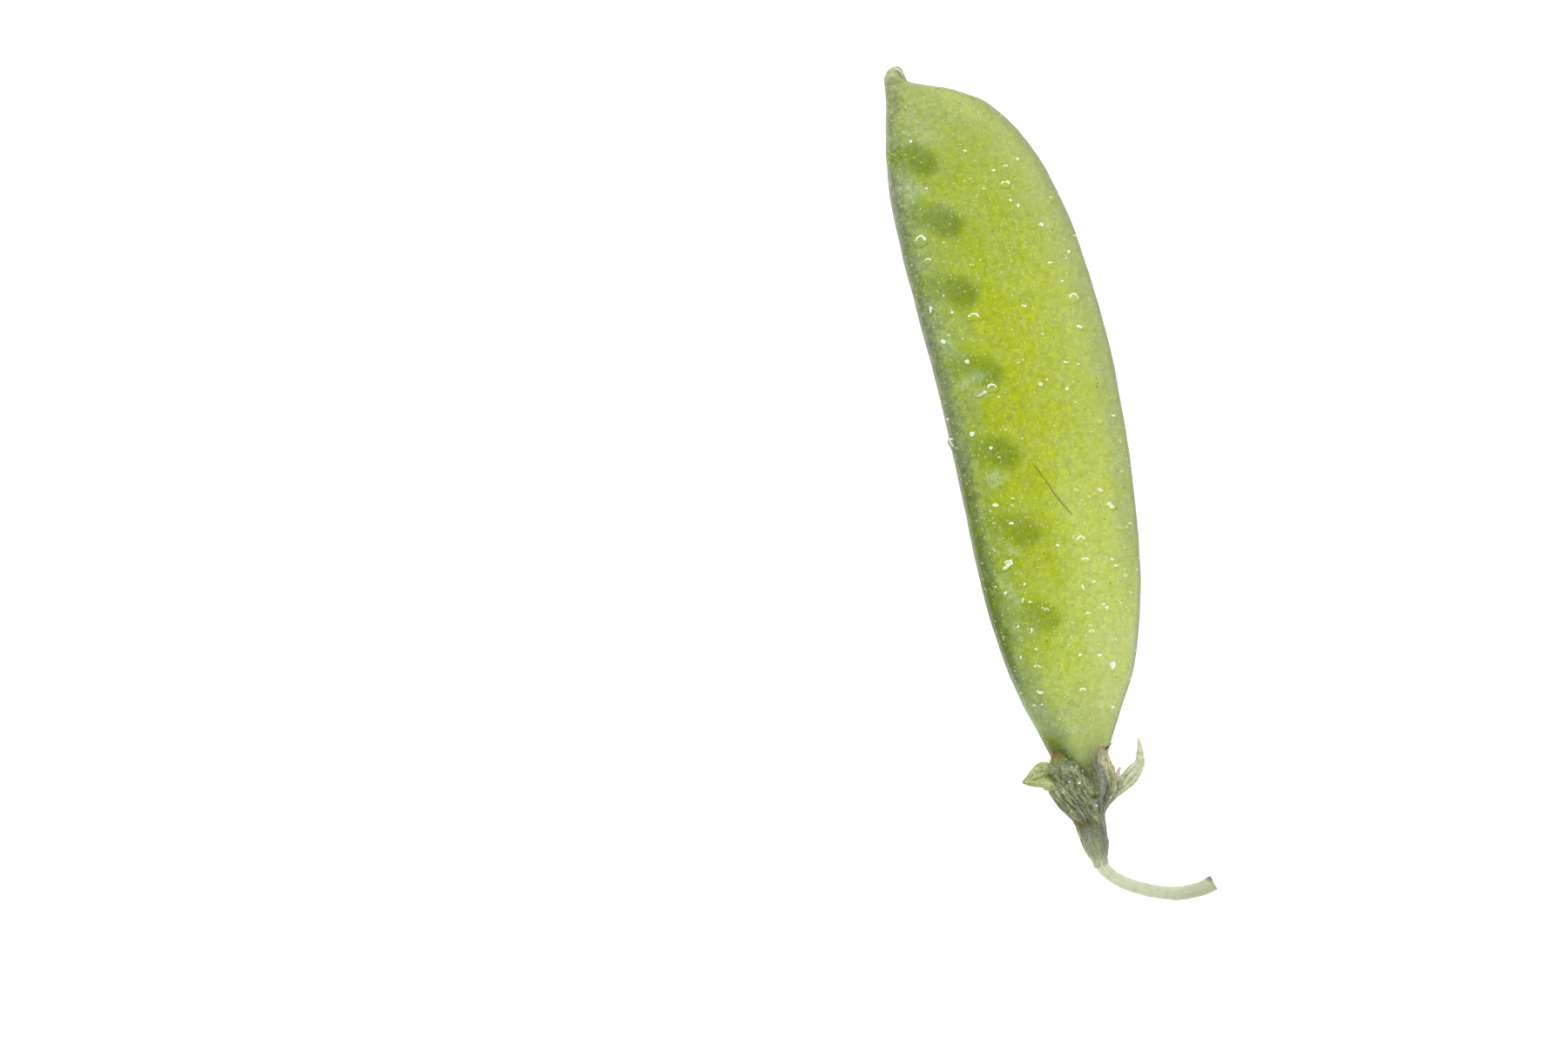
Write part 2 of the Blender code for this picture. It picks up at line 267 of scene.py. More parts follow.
def named(tree, name):
    return add(tree, "GeometryNodeInputNamedAttribute", {"Name": name}, data_type="FLOAT")


def position(tree):
    return add(tree, "GeometryNodeInputPosition")


def unit_ball(tree, segments, rings):
    return add(tree, "GeometryNodeMeshUVSphere", {"Segments": segments, "Rings": rings, "Radius": 1})


def taken(geometry, value, index, kind="FLOAT"):
    """A value from one point of a geometry."""
    inputs = {"Geometry": geometry, "Value": value, "Index": index}
    return add(value.tree, "GeometryNodeSampleIndex", inputs, data_type=kind)


def shift(geometry, **to):
    """Moves each point of a geometry to a Position, or by an Offset."""
    return add(geometry.tree, "GeometryNodeSetPosition", {"Geometry": geometry, **to})


def roughen(geometry, height):
    """Moves each point of a surface outwards by a height."""
    normal = add(geometry.tree, "GeometryNodeInputNormal")
    return shift(geometry, Offset=normal.vector_math("SCALE", height))


def lumps(tree, scale):
    """Soft noise about 0 over the points' places."""
    return grain(position(tree), scale, 2) - 0.5


def shown(name, data):
    """A new object in the scene."""
    thing = bpy.data.objects.new(name, data)
    bpy.context.scene.collection.objects.link(thing)
    return thing


def modified(holder):
    """The mesh that an object's modifiers make of it. The object itself goes."""
    graph = bpy.context.evaluated_depsgraph_get()
    mesh = bpy.data.meshes.new_from_object(
        holder.evaluated_get(graph), preserve_all_data_layers=True, depsgraph=graph
    )
    bpy.data.objects.remove(holder)
    return mesh


def grow(name, tree, start, **sizes):
    """Runs a geometry tree on start data, in millimetres, and gives the result as a placed object."""
    holder = shown(name + "_start", start)
    modifier = holder.modifiers.new("tree", "NODES")
    modifier.node_group = tree
    for item in tree.interface.items_tree:
        if item.in_out == "INPUT" and item.name in sizes:
            modifier[item.identifier] = sizes[item.name]
    return place(name, modified(holder))


def place(name, mesh):
    """Names a finished mesh, moves it from the pod's frame into the world, and shows it."""
    mesh.name = name
    mesh.transform(TO_WORLD)
    return shown(name, mesh)


def built(build, name, finish):
    """Turns a finished bmesh into a mesh with its finish."""
    mesh = bpy.data.meshes.new(name)
    build.to_mesh(mesh)
    build.free()
    mesh.materials.append(finish)
    return mesh


def smooth_mesh(build, name, finish):
    """The same with all its faces turned outwards and smooth."""
    bmesh.ops.recalc_face_normals(build, faces=build.faces)
    mesh = built(build, name, finish)
    mesh.shade_smooth()
    return mesh


def points_mesh(name, points, **columns):
    """Loose points with a number for each one under each name."""
    mesh = bpy.data.meshes.new(name)
    mesh.from_pydata([tuple(point) for point in points], [], [])
    for label, values in columns.items():
        mesh.attributes.new(label, "FLOAT", "POINT").data.foreach_set("value", values)
    return mesh


# ---- finishes

STUDIO_BRIGHTNESS = 1.18  # how much brighter than its own colour the studio shows a surface
STUDIO_SHEEN = 0.018  # what the studio's reflection adds to it
SHEEN_LEVEL = 0.25  # how strongly a surface reflects, as the shader's specular level


def paint(red, green, blue):
    """A screen colour from 0 to 255, as the linear colour that looks like it in the studio."""
    linear = [((value / 255 + 0.055) / 1.055) ** 2.4 for value in (red, green, blue)]
    return tuple(max(value - STUDIO_SHEEN, 0.004) / STUDIO_BRIGHTNESS for value in linear) + (1.0,)


def start_finish(name, **constants):
    """A material with the same value all over for each named socket. Gives it and its tree."""
    material = bpy.data.materials.new(name)
    material.use_nodes = True
    shader = material.node_tree.nodes["Principled BSDF"]
    constants = {"specular_ior_level": SHEEN_LEVEL} | constants
    for label, value in constants.items():
        shader.inputs[label.replace("_", " ").title().replace("Ior", "IOR")].default_value = value
    return material, material.node_tree


def end_finish(material, colour, roughness=None, relief=None, depth=0.0, strength=1.0):
    """Plugs in what varies over a finish. Its relief is a bump that is this many millimetres deep."""
    tree = material.node_tree
    fields = {"Base Color": colour}
    if roughness:
        fields["Roughness"] = roughness
    if relief:
        inputs = {"Height": relief, "Distance": depth * MM, "Strength": strength}
        fields["Normal"] = add(tree, "ShaderNodeBump", inputs)
    for label, field in fields.items():
        plug(tree, tree.nodes["Principled BSDF"].inputs[label], field)
    return material


def blend(factor, first, second):
    """Colour that goes from the first to the second as the factor goes from 0 to 1."""
    return add(factor.tree, "ShaderNodeMix", {0: factor, 6: first, 7: second}, output=2, data_type="RGBA")


def coats(colour, *rows):
    """Lays coats over a colour. Each has its strength, its screen colour and what limits it.

    A limit is a field from 0 to 1, or an eased step: (field, where it is 0, where it is 1).
    """
    for strength, hue, *limits in rows:
        fields = [limit if isinstance(limit, Field) else step(*limit) for limit in limits]
        colour = blend(reduce(mul, fields) * strength, colour, paint(*hue))
    return colour


def ramp(field, stops):
    """Colour read from stops of (place from 0 to 1, colour)."""
    read = add(field.tree, "ShaderNodeValToRGB", {"Fac": field})
    elements = read.socket.node.color_ramp.elements
    for element, (at, colour) in zip(elements, (stops[0], stops[-1])):
        element.position = at
        element.color = colour
    for at, colour in stops[1:-1]:
        elements.new(at).color = colour
    return read


def shade(colour, amount):
    """Multiplies a colour by a number field."""
    return colour.vector_math("SCALE", amount)


def mottled(colour, noise, strength):
    """Makes a colour lighter and darker with a noise about 0.5."""
    return shade(colour, 1 + (noise - 0.5) * strength)


def tinted(colour, green, blue):
    """Adds a little green and blue to a colour, or takes them away."""
    return colour.vector_math("ADD", vector(colour.tree, 0.0, green, blue))


def read(tree, name):
    """A number kept on the mesh, in a material."""
    return add(tree, "ShaderNodeAttribute", output="Fac", attribute_name=name)


def place_mm(tree):
    """Object coordinates as millimetres in the pod's frame."""
    spot = add(tree, "ShaderNodeTexCoord", output="Object")
    return spot.vector_math("SUBTRACT", ORIGIN).vector_math("SCALE", 1 / MM)


# Where on the pod a point is: in from each edge, and how far along.
SKIN_PLACE = ("from_ventral", "from_dorsal", "along")

# Skin greens from the ventral edge to the dorsal one: how far in, and the colour there.
ACROSS_REACH = 20.0
ACROSS_GREENS = (
    (0.0, (128, 136, 104)), (0.5, (120, 131, 92)), (0.9, (126, 140, 90)), (1.4, (140, 156, 92)),
    (2.0, (151, 169, 88)), (3.0, (158, 176, 80)), (4.2, (164, 181, 68)), (6.0, (170, 186, 55)),
    (8.2, (172, 188, 50)), (10.5, (177, 192, 62)), (14.0, (182, 196, 80)), (16.5, (185, 199, 100)),
    (20.0, (180, 194, 114)),
)

SKIN_YELLOW_GRAIN = 0.24
SKIN_LIGHT_GRAIN = 1.15
SKIN_SHADE = 0.955  # the whole skin is this much darker than its greens

# A scratch: where its lower end is, its slope and bend from there, and its length along the pod.
SCRATCH_X, SCRATCH_Y, SCRATCH_LENGTH = 6.5, 27.9, 7.1
SCRATCH_SLOPE, SCRATCH_BEND = -0.46, 0.0085


def skin_colour(tree):
    """The pod's green from where on it a point is, with its place and the soft clouds in it."""
    spot = place_mm(tree)
    x, y, _ = split(spot)
    ventral, dorsal, along = (read(tree, name) for name in SKIN_PLACE)
    stops = [(at / ACROSS_REACH, paint(*colour)) for at, colour in ACROSS_GREENS]
    clouds = grain(spot, 0.35, 3, 0.6, 0.4)
    cloudy = clouds - 0.5
    wander = cloudy * 3.4
    share = ventral / (ventral + dorsal + 0.01) + cloudy * 0.25
    green = ramp((ventral + wander * step(ventral, 0.5, 3)) / ACROSS_REACH, stops)
    # The back is paler and greyer near the calyx, along its seam, and at both ends.
    green = coats(green, (0.85, (194, 208, 106), (along, 42, 24), (ventral + wander * 0.7, 8, 11.5)))
    edge_green = blend(step(along, 54, 66), paint(166, 180, 118), paint(158, 170, 116))
    green = blend(step(dorsal, 3.6, 0.5) * 0.8, green, edge_green)
    lower = step(along, 25, 16) * step(along, 7.5, 11)
    green = coats(
        green,
        (0.85, (184, 199, 124), (along, 15, 6), (ventral, 1, 4)),
        (0.6, (190, 207, 104), lower, (share, 0.2, 0.5)),
    )
    green = shade(green, 1 + lower * step(share, 0.6, 0.3) * 0.06)
    paler = step(along, 23, 12) * step(share, 0.45, 0.8) * step(along, 4.5, 7.5)
    green = coats(
        green,
        (0.8, (198, 211, 126), paler),
        (0.7, (186, 200, 142), (dorsal, 1.5, 0.3), paler),
        (0.85, (152, 169, 112), (along, 13.5, 8), (ventral, 3.5, 1.5)),
    )
    # The green between the edge and the peas is yellower towards the calyx, and bluer towards the beak.
    strip = step(ventral, 1.2, 2.2) * step(ventral, 7, 4.5)
    bluer = (step(along, 30, 66) - 0.55) * step(along, 20, 27)
    green = tinted(green, 0, bluer * strip * 0.045)
    green = coats(
        green,
        (0.5, (160, 177, 82), (along, 50, 64), (ventral, 1.5, 4), (dorsal, 1, 4)),
        (0.7, (161, 177, 97), (along, 65, 76)),
        (0.6, (184, 196, 116), (dorsal, 0.6, 1.4), (dorsal, 5, 2.5), (along, 50, 66), (ventral, 3.5, 7)),
        (0.9, (163, 172, 116), (along, 77, 79)),
        (0.5, (132, 140, 112), (along, 61, 68), (ventral, 1.9, 0.9)),
        (0.5, (140, 148, 114), (along + wander * 0.15, 78, 79.4), (ventral, 1.1, 0.3)),
        (0.8, (186, 191, 145), (along, 78.6, 79.5)),
        # The calyx shades the skin beside it.
        (0.9, (108, 124, 62), (along, 7, 4.2), (ventral + cloudy * 2, 3.2, 1)),
        # Painted light right at the calyx's foot, lifting the shadow that the lobes cast there.
        (0.85, (174, 190, 130), (along, 4, 1.5)),
        # Painted shade beside the edge of the front left lobe.
        (0.8, (110, 126, 66), ((x + 1.1) * 0.9 + (y - 3.2) * 0.44, 0.9, 0.2), (y, 4.6, 3.4)),
    )
    # The skin is dark beside the ventral seam, and most so towards the calyx.
    reach = step(along, 12.5, 18) * 1.1 + step(along, 28, 22) * 0.2 + 0.9
    near = (ventral + cloudy * 0.9, reach, reach * 0.33)
    green = coats(green, (0.85, (99, 116, 56), (ventral, 0, 0.3), near, (along, 42, 31), (along, 9.5, 15)))
    fresh = step(ventral, 2.6, 1.4) * bell(along - 20, 7)
    green = tinted(green, fresh * 0.014, fresh * -0.02)
    # Painted shadows of the peas and their seed stalks, seen through the skin as soft darker patches.
    through = blend(step(along, 45, 62), paint(123, 145, 42), paint(126, 146, 56))
    green = blend(read(tree, "pea"), green, through)
    # Water lies on it in films here and there, painted paler as their sheen.
    film = grain(spot, 1.3, 4, 0.65)
    green = coats(green, (0.6, (178, 196, 150), read(tree, "wet"), (film, 0.36, 0.62)))
    return green, spot, clouds


def skin_finish():
    material, tree = start_finish("pod_skin", subsurface_weight=0.1, subsurface_scale=0.0005)
    green, spot, clouds = skin_colour(tree)
    x, y, _ = split(spot)
    ventral, dorsal, along = (read(tree, name) for name in SKIN_PLACE)
    # Fine net of veins.
    bent = grain(spot, 0.8, 3)
    shaken = spot.vector_math("ADD", bent.out("Color").vector_math("SCALE", 2.4))
    cells = voronoi(shaken, 0.5, feature="DISTANCE_TO_EDGE")
    net = step(cells, 0.07, 0) * step(clouds, 0.35, 0.55)
    green = coats(green, (0.14, (140, 165, 50), net))
    # Mottling, speckle and the grain of the cells: first how yellow, then how light.
    yellow = grain(spot, 0.9, 6, 0.9)
    wide_yellow = grain(spot, 0.42, 2)
    green = tinted(green, 0, (yellow - 0.5) * SKIN_YELLOW_GRAIN + (wide_yellow - 0.5) * 0.1)
    light = grain(spot.vector_math("ADD", (40, 7, 3)), 1.5, 4, 0.9)
    rough_band = 1 + step(ventral, 3.4, 0.8) * step(along, 7, 22) * 1.2
    rough_band = rough_band * (1 - step(dorsal, 6, 3) * 0.3)
    green = shade(green, SKIN_SHADE + (light - 0.5) * SKIN_LIGHT_GRAIN * rough_band)
    fibres = grain(spot.vector_math("MULTIPLY", (1, 0.16, 1)), 1.9, 3, 0.6)
    green = mottled(green, fibres, 0.16)
    pores = voronoi(spot, 2.2)
    chosen, _, dark_one = split(pores.out("Color"))
    t = y - SCRATCH_Y
    beside = x - (t * t * SCRATCH_BEND + t * SCRATCH_SLOPE + SCRATCH_X)
    scratch = bell(beside + (bent - 0.5) * 0.3, 0.1)
    on_scratch = step(t, 0, 0.3) * step(t, SCRATCH_LENGTH, SCRATCH_LENGTH - 1)
    green = coats(
        green,
        # Pale pores in some of the skin's cells, and a dark speck in a few.
        (0.5, (214, 222, 150), (pores, 0.32, 0.14), (chosen, 0.5, 0.75)),
        (0.7, (104, 116, 52), (pores, 0.3, 0.16), (dark_one, 0.965, 0.975)),
        (0.85, (116, 132, 30), scratch, on_scratch),
        # Painted shade darkens the ventral string, whose own green is paler; the back seam has a thin dull
        # line.
        (0.8, (150, 157, 132), read(tree, "string"), 1 - bell(along - 18, 7) * 0.7),
        (0.85, (142, 151, 114), read(tree, "back_line")),
        # Beside the lowest peas the edge itself is dark too.
        (0.65, (88, 103, 38), (ventral, 0.85, 0.25), bell(along - 20, 5.5)),
    )
    relief = net * -0.4 + light * 0.8 + fibres * 0.6
    return end_finish(material, green, 0.36 + (clouds - 0.5) * 0.2, relief, 0.06, 0.6)


def water_finish():
    """Water drops: the green under them, with a painted glint where a drop gathers light."""
    material, tree = start_finish("water_drop", roughness=0.08, ior=1.33)
    green, spot, _ = skin_colour(tree)
    wide = read(tree, "drop_radius")
    centre = add(tree, "ShaderNodeAttribute", output="Vector", attribute_name="centre")
    x, y, _ = split(spot.vector_math("SUBTRACT", centre))
    bend_x, bend_y, _ = split(grain(spot, 1.7, 1).out("Color"))
    x, y = x / wide + (bend_x - 0.5) * 0.5, y / wide + (bend_y - 0.5) * 0.5
    out = (x * x + y * y) ** 0.5
    towards = x * LIGHT_SIDE.x + y * LIGHT_SIDE.y
    broken = grain(spot, 1.5, 2)
    thick = wide ** -1.0 * 0.05 + 0.07
    window = bell(out - 0.55, thick) * step(towards, -0.15, 0.25) * step(broken, 0.22, 0.38)
    lit = step(window, 0.25, 0.6)
    small = step(wide, 0.22, 0.13) * step(out, 1.1, 0.5)
    rough_x, rough_y, _ = split(grain(spot, 2.6, 2).out("Color"))
    ball_x = read(tree, "ball_x") + (rough_x - 0.5) * 1.6
    ball_y = read(tree, "ball_y") + (rough_y - 0.5) * 1.6
    filled = step((ball_x * ball_x + ball_y * ball_y) ** 0.5, 0.75, 0.3) * read(tree, "drop_filled")
    glint = lit.math("MAXIMUM", small).math("MAXIMUM", filled)
    glint = glint * (read(tree, "drop_chance") ** 2.5 * 0.8 + 0.2)
    # The body is painted a little lighter, with painted shade on the side away from the light.
    body = shade(green, 1.03 + step(towards, -0.3, -0.9) * -0.07)
    return end_finish(material, coats(body, (0.95, (250, 252, 244), glint)))


def pea_finish():
    material, tree = start_finish("pea_skin", subsurface_weight=0.2, subsurface_scale=0.0008)
    mottle = grain(place_mm(tree), 2.2, 3)
    colour = blend(step(mottle, 0.35, 0.7), paint(120, 152, 52), paint(158, 184, 84))
    return end_finish(material, colour, 0.3 + mottle * 0.2, mottle, 0.05, 0.5)


def streaks(tree, sideways, along, count, stretch, seed):
    """Noise drawn out along a piece: many streaks across it and slow changes along it."""
    where = vector(tree, sideways * count, along * stretch, seed)
    return grain(where, 1, 4, 0.6)


def round_streaks(tree, along, count, stretch):
    """Streaks along a round piece, which meet where its sides do."""
    where = vector(tree, read(tree, "ring_x") * count, read(tree, "ring_y") * count, along * stretch)
    return grain(where, 1, 4, 0.6)


def gritty(spot):
    """The finest grain of the calyx and the stalk."""
    return grain(spot, 4.5, 3, 0.75)


# The share of the calyx's cells that have a painted glint of water in them.
WET_SHARE = 0.035


def painted_water_glints(colour, spot):
    """Painted glints of water on wrinkled green."""
    cells = voronoi(spot, 2.3)
    chosen, _, _ = split(cells.out("Color"))
    most = 1 - WET_SHARE
    return coats(colour, (0.9, (232, 235, 232), (cells, 0.36, 0.16), (chosen, most, most + 0.02)))


# The calyx's streaks fan out from its foot: where their middle one lies, half the fan's width at
# the origin, what it gains for each millimetre towards the beak, and the least it comes to.
FAN_MIDDLE, FAN_HALF_WIDTH, FAN_SPREAD, FAN_LEAST = 0.7, 3.5, 0.5, 1.1
# Painted glints of water drops on it: (x, y, half width).
CALYX_GLINTS = ((2.75, -2.75, 0.26), (-0.3, -0.2, 0.16), (0.9, -3.1, 0.14))


def calyx_green(tree, spot):
    """Withered green of the calyx: dark creases and pale ridges in a fan, partly its own colour and partly
    painted shade and light of its folds, lilac and pale patches, and painted glints of water.
    """
    x, y, z = split(spot)
    fan = (x - FAN_MIDDLE) / (y * FAN_SPREAD + FAN_HALF_WIDTH).math("MAXIMUM", FAN_LEAST)
    broad = grain(vector(tree, fan * 4.6, y * 0.42, z * 0.4), 1, 3, 0.6, 0.3)
    fine = grain(vector(tree, fan * 13, y * 0.8, z * 0.9), 1, 3, 0.65)
    broken = grain(vector(tree, fan * 7, y * 1.4, z * 1.2), 1, 3, 0.65)
    patches = grain(spot, 0.75, 3, 0.6)
    grit = gritty(spot)
    mixed = broad * 0.55 + broken * 0.45 + bell(x + 1.9, 0.9) * bell(y - 0.9, 0.9) * 0.09
    green = blend(step(mixed, 0.42, 0.57), paint(84, 100, 52), paint(144, 152, 116))
    _, other, _ = split(patches.out("Color"))
    uneven = broad - 0.5
    green = coats(
        green,
        (0.45, (122, 124, 96), (other, 0.42, 0.58)),
        (0.7, (186, 194, 154), (patches, 0.54, 0.66), (grit, 0.36, 0.56)),
        (0.55, (154, 154, 168), (patches + uneven * 0.5, 0.46, 0.38), (grit, 0.4, 0.55), (x, -2.2, -0.6)),
        # A dry brown band crosses it low down on the ventral side.
        (0.85, (100, 94, 48), (x, 0.6, -0.6), bell(y + 4.7 + uneven * 1.2, 0.6)),
    )
    green = mottled(green, grit, 1.2)
    # Darker creases and paler ridges: partly their own colour, partly painted shade and light.
    green = coats(green, (0.75, (66, 76, 40), (fine, 0.45, 0.37)), (0.5, (168, 176, 144), (fine, 0.56, 0.64)))
    green = mottled(green, patches, 0.5)
    # Painted glints, on its top faces only.
    for at_x, at_y, width in CALYX_GLINTS:
        glint = bell(x - at_x, width) * bell(y - at_y, width * 0.8) * step(z, 3.5, 3.8)
        green = blend(step(glint, 0.3, 0.6), green, paint(240, 244, 240))
    return green, broad + fine * 0.8 + grit * 0.3


def leaf_finish(name, dark, pale, tip, dryness, seed, own, lean=0.0, stripes=()):
    """A withered sepal: it starts in the calyx's green, has its own streaks further up, and a dry tip.

    Own gives where along it its own colours start and are full. With a lean they start on one side.
    Each stripe along it has its place across, its width, its strength and its colour.
    """
    material, tree = start_finish(name, subsurface_weight=0.1, subsurface_scale=0.0004)
    spot = place_mm(tree)
    along, across = read(tree, "up_leaf"), read(tree, "across_leaf")
    foot, foot_relief = calyx_green(tree, spot)
    lines = streaks(tree, across, along, 3.6, 1.6, seed)
    fine = streaks(tree, across, along, 9, 3, seed + 5)
    crumple = grain(spot, 1.1, 4, 0.65, 0.6)
    grit = gritty(spot)
    tone = lines * 0.9 + crumple * 0.5 + (grit - 0.5) * 0.4
    colour = blend(step(tone, 0.5, 0.9), paint(*dark), paint(*pale))
    colour = mottled(mottled(colour, fine, 1.1), grit, 0.7)
    # Darker creases: partly their own colour, partly painted shade.
    colour = coats(colour, (0.4, [value * 0.72 for value in dark], (fine, 0.42, 0.33)))
    started = step(along + across * lean + (crumple - 0.5) * 0.3, *own)
    colour = blend(started, foot, colour)
    for at, width, strength, hue in stripes:
        lengthwise = bell(across - at + (crumple - 0.5) * 0.4, width)
        colour = coats(colour, (strength, hue, lengthwise, (grit, 0.3, 0.5)))
    colour = painted_water_glints(colour, spot)
    dried = step(along + (crumple - 0.5) * 0.35, dryness, dryness + 0.16)
    colour = coats(colour, (0.9, tip, dried))
    colour = shade(colour, 1 + (grit - 0.5) * dried * 1.6)
    relief = foot_relief + started * (fine + crumple * 1.5 - foot_relief)
    return end_finish(material, colour, 0.3 + fine * 0.4, relief, 0.14, 0.8)


def cup_finish():
    material, tree = start_finish("calyx_cup", subsurface_weight=0.06, subsurface_scale=0.0004)
    spot = place_mm(tree)
    x, _, _ = split(spot)
    down = read(tree, "down_cup")
    lines = round_streaks(tree, down, 5, 1.2)
    blotchy = grain(spot, 0.8, 4, 0.65, 0.5) - 0.5
    green, relief = calyx_green(tree, spot)
    # Further down the cup is smoother and paler, and greyer on the back seam's side, partly a painted sheen.
    low = step(down + blotchy * 0.4, 0.32, 0.68)
    smooth_green = blend(step(x + blotchy * 1.5, -0.2, 0.8), paint(154, 162, 126), paint(136, 136, 124))
    smooth_green = coats(mottled(smooth_green, lines, 1.3), (0.4, (160, 160, 160), (lines, 0.56, 0.66)))
    green = blend(low * 0.8, green, smooth_green)
    green = coats(green, (0.85, (180, 188, 156), (down, 0.7, 0.95)))
    green = shade(green, 1 + (gritty(spot) - 0.5) * low * 1.1)
    green = painted_water_glints(green, spot)
    return end_finish(material, green, 0.32 + lines * 0.4, relief + lines, 0.16, 0.8)


def stalk_finish():
    material, tree = start_finish("stalk_green", subsurface_weight=0.15, subsurface_scale=0.0006)
    along = read(tree, "along_tube")
    spot = place_mm(tree)
    _, y, _ = split(spot)
    lines = round_streaks(tree, along, 3.5, 5)
    blotch = grain(spot, 1.1, 3)
    green = blend(step(along, 0.35, 0.9), paint(205, 214, 180), paint(185, 192, 161))
    green = coats(mottled(green, lines, 0.4), (0.5, (180, 188, 152), (blotch, 0.5, 0.7)))
    cut = step(along + (blotch - 0.5) * 0.1, 0.94, 0.99)
    green = coats(
        mottled(green, gritty(spot), 0.5),
        (0.7, (158, 163, 134), (along, 0.12, 0)),
        (0.6, (176, 178, 150), cut),
        (0.85, (128, 118, 124), cut, (y, -14.8, -14.2)),
    )
    return end_finish(material, green, 0.4 + lines * 0.25, lines, 0.1, 0.7)


def shred_finish(name, colour, dark, green_foot=0.0):
    material, tree = start_finish(name)
    along = read(tree, "along_tube")
    lines = round_streaks(tree, along, 2, 4)
    dry = blend(step(lines, 0.35, 0.65), paint(*dark), paint(*colour))
    dry = coats(dry, (green_foot, (176, 180, 130), (along, 0.75, 0.45)))
    return end_finish(material, dry, 0.6 + lines * 0.3, lines, 0.08, 0.8)


# ---- the pod's skin

SKIN_SIZES = {
    "sides": 176,
    "edge_spread": 2.4,  # higher crowds more points towards the seams
    "edge_rounding": 0.34,  # lower is squarer at the two seams
    "dorsal_thinning": 0.46,
    "thinning_power": 1.5,
    "bulge_height": 0.5,
    "bulge_width": 2.7,
    "bulge_length": 2.3,
    "string_depth": 0.16,  # how far the ventral string stands out of the seam
    "string_height": 0.45,
    "back_line_depth": 0.14,
    "back_line_height": 0.32,
    "unevenness": 0.1,
}
SEAM_SHARPNESS = 30  # higher keeps the seams' strings closer to the edges
MERGE_DISTANCE = 1e-4

# The shadow that a pea and its seed stalk cast through the skin, each an ellipse about the pea:
# (x, y, how many degrees it slants from X towards -Y, half length, half width).
PEA_SHADOW = (-0.35, 0.0, 45, 2.35, 1.75)
SEED_STALK_SHADOW = (-2.7, 1.2, 20, 2.9, 1.7)
SEED_STALK_DARKNESS = 0.6

# What a drop takes from the skin under it, for its finish.
SKIN_MARKS = (*SKIN_PLACE, "pea", "wet")

# Where films of water lie, each an ellipse like those.
WET_PATCHES = (
    (-0.3, 44.9, -14, 1.9, 0.8), (0.6, 43.4, 10, 1.5, 0.7), (-0.7, 34.0, 30, 1.5, 1.3),
    (-1.2, 66.6, 25, 1.7, 1.1), (-0.6, 26.0, 40, 1.3, 0.8), (-2.2, 21.6, 70, 2.4, 0.7),
    (-1.9, 49.6, 70, 1.9, 0.8),
)


def seam_guide():
    """One point for each ring of the skin, on the ventral edge, with the rest of its section."""
    start, end = POD_STATIONS[0][0], POD_STATIONS[-1][0]
    rows = [(start, 0.05, 0.05, 0.0, POD_STATIONS[0][4])]
    for i in range(RINGS + 1):
        at = start + (end - start) * crowded(i / RINGS)
        rows.append((at, *(smooth_value(POD_STATIONS, c, at) for c in (1, 2, 3, 4))))
    rows.append(POD_TIP)
    points = [(ventral, at, middle) for at, ventral, _, _, middle in rows]
    return points_mesh("seam_guide", points, dorsal=[row[2] for row in rows], half=[row[3] for row in rows])


def ellipse_distance(x, y, shape):
    """How far out a place is in an ellipse: 0 at its middle, 1 on its edge."""
    middle_x, middle_y, degrees, half_length, half_width = shape
    x, y = x - middle_x, y - middle_y
    cos, sin = math.cos(math.radians(degrees)), math.sin(math.radians(degrees))
    lengthwise, sideways = (x * cos - y * sin) / half_length, (x * sin + y * cos) / half_width
    return (lengthwise * lengthwise + sideways * sideways) ** 0.5


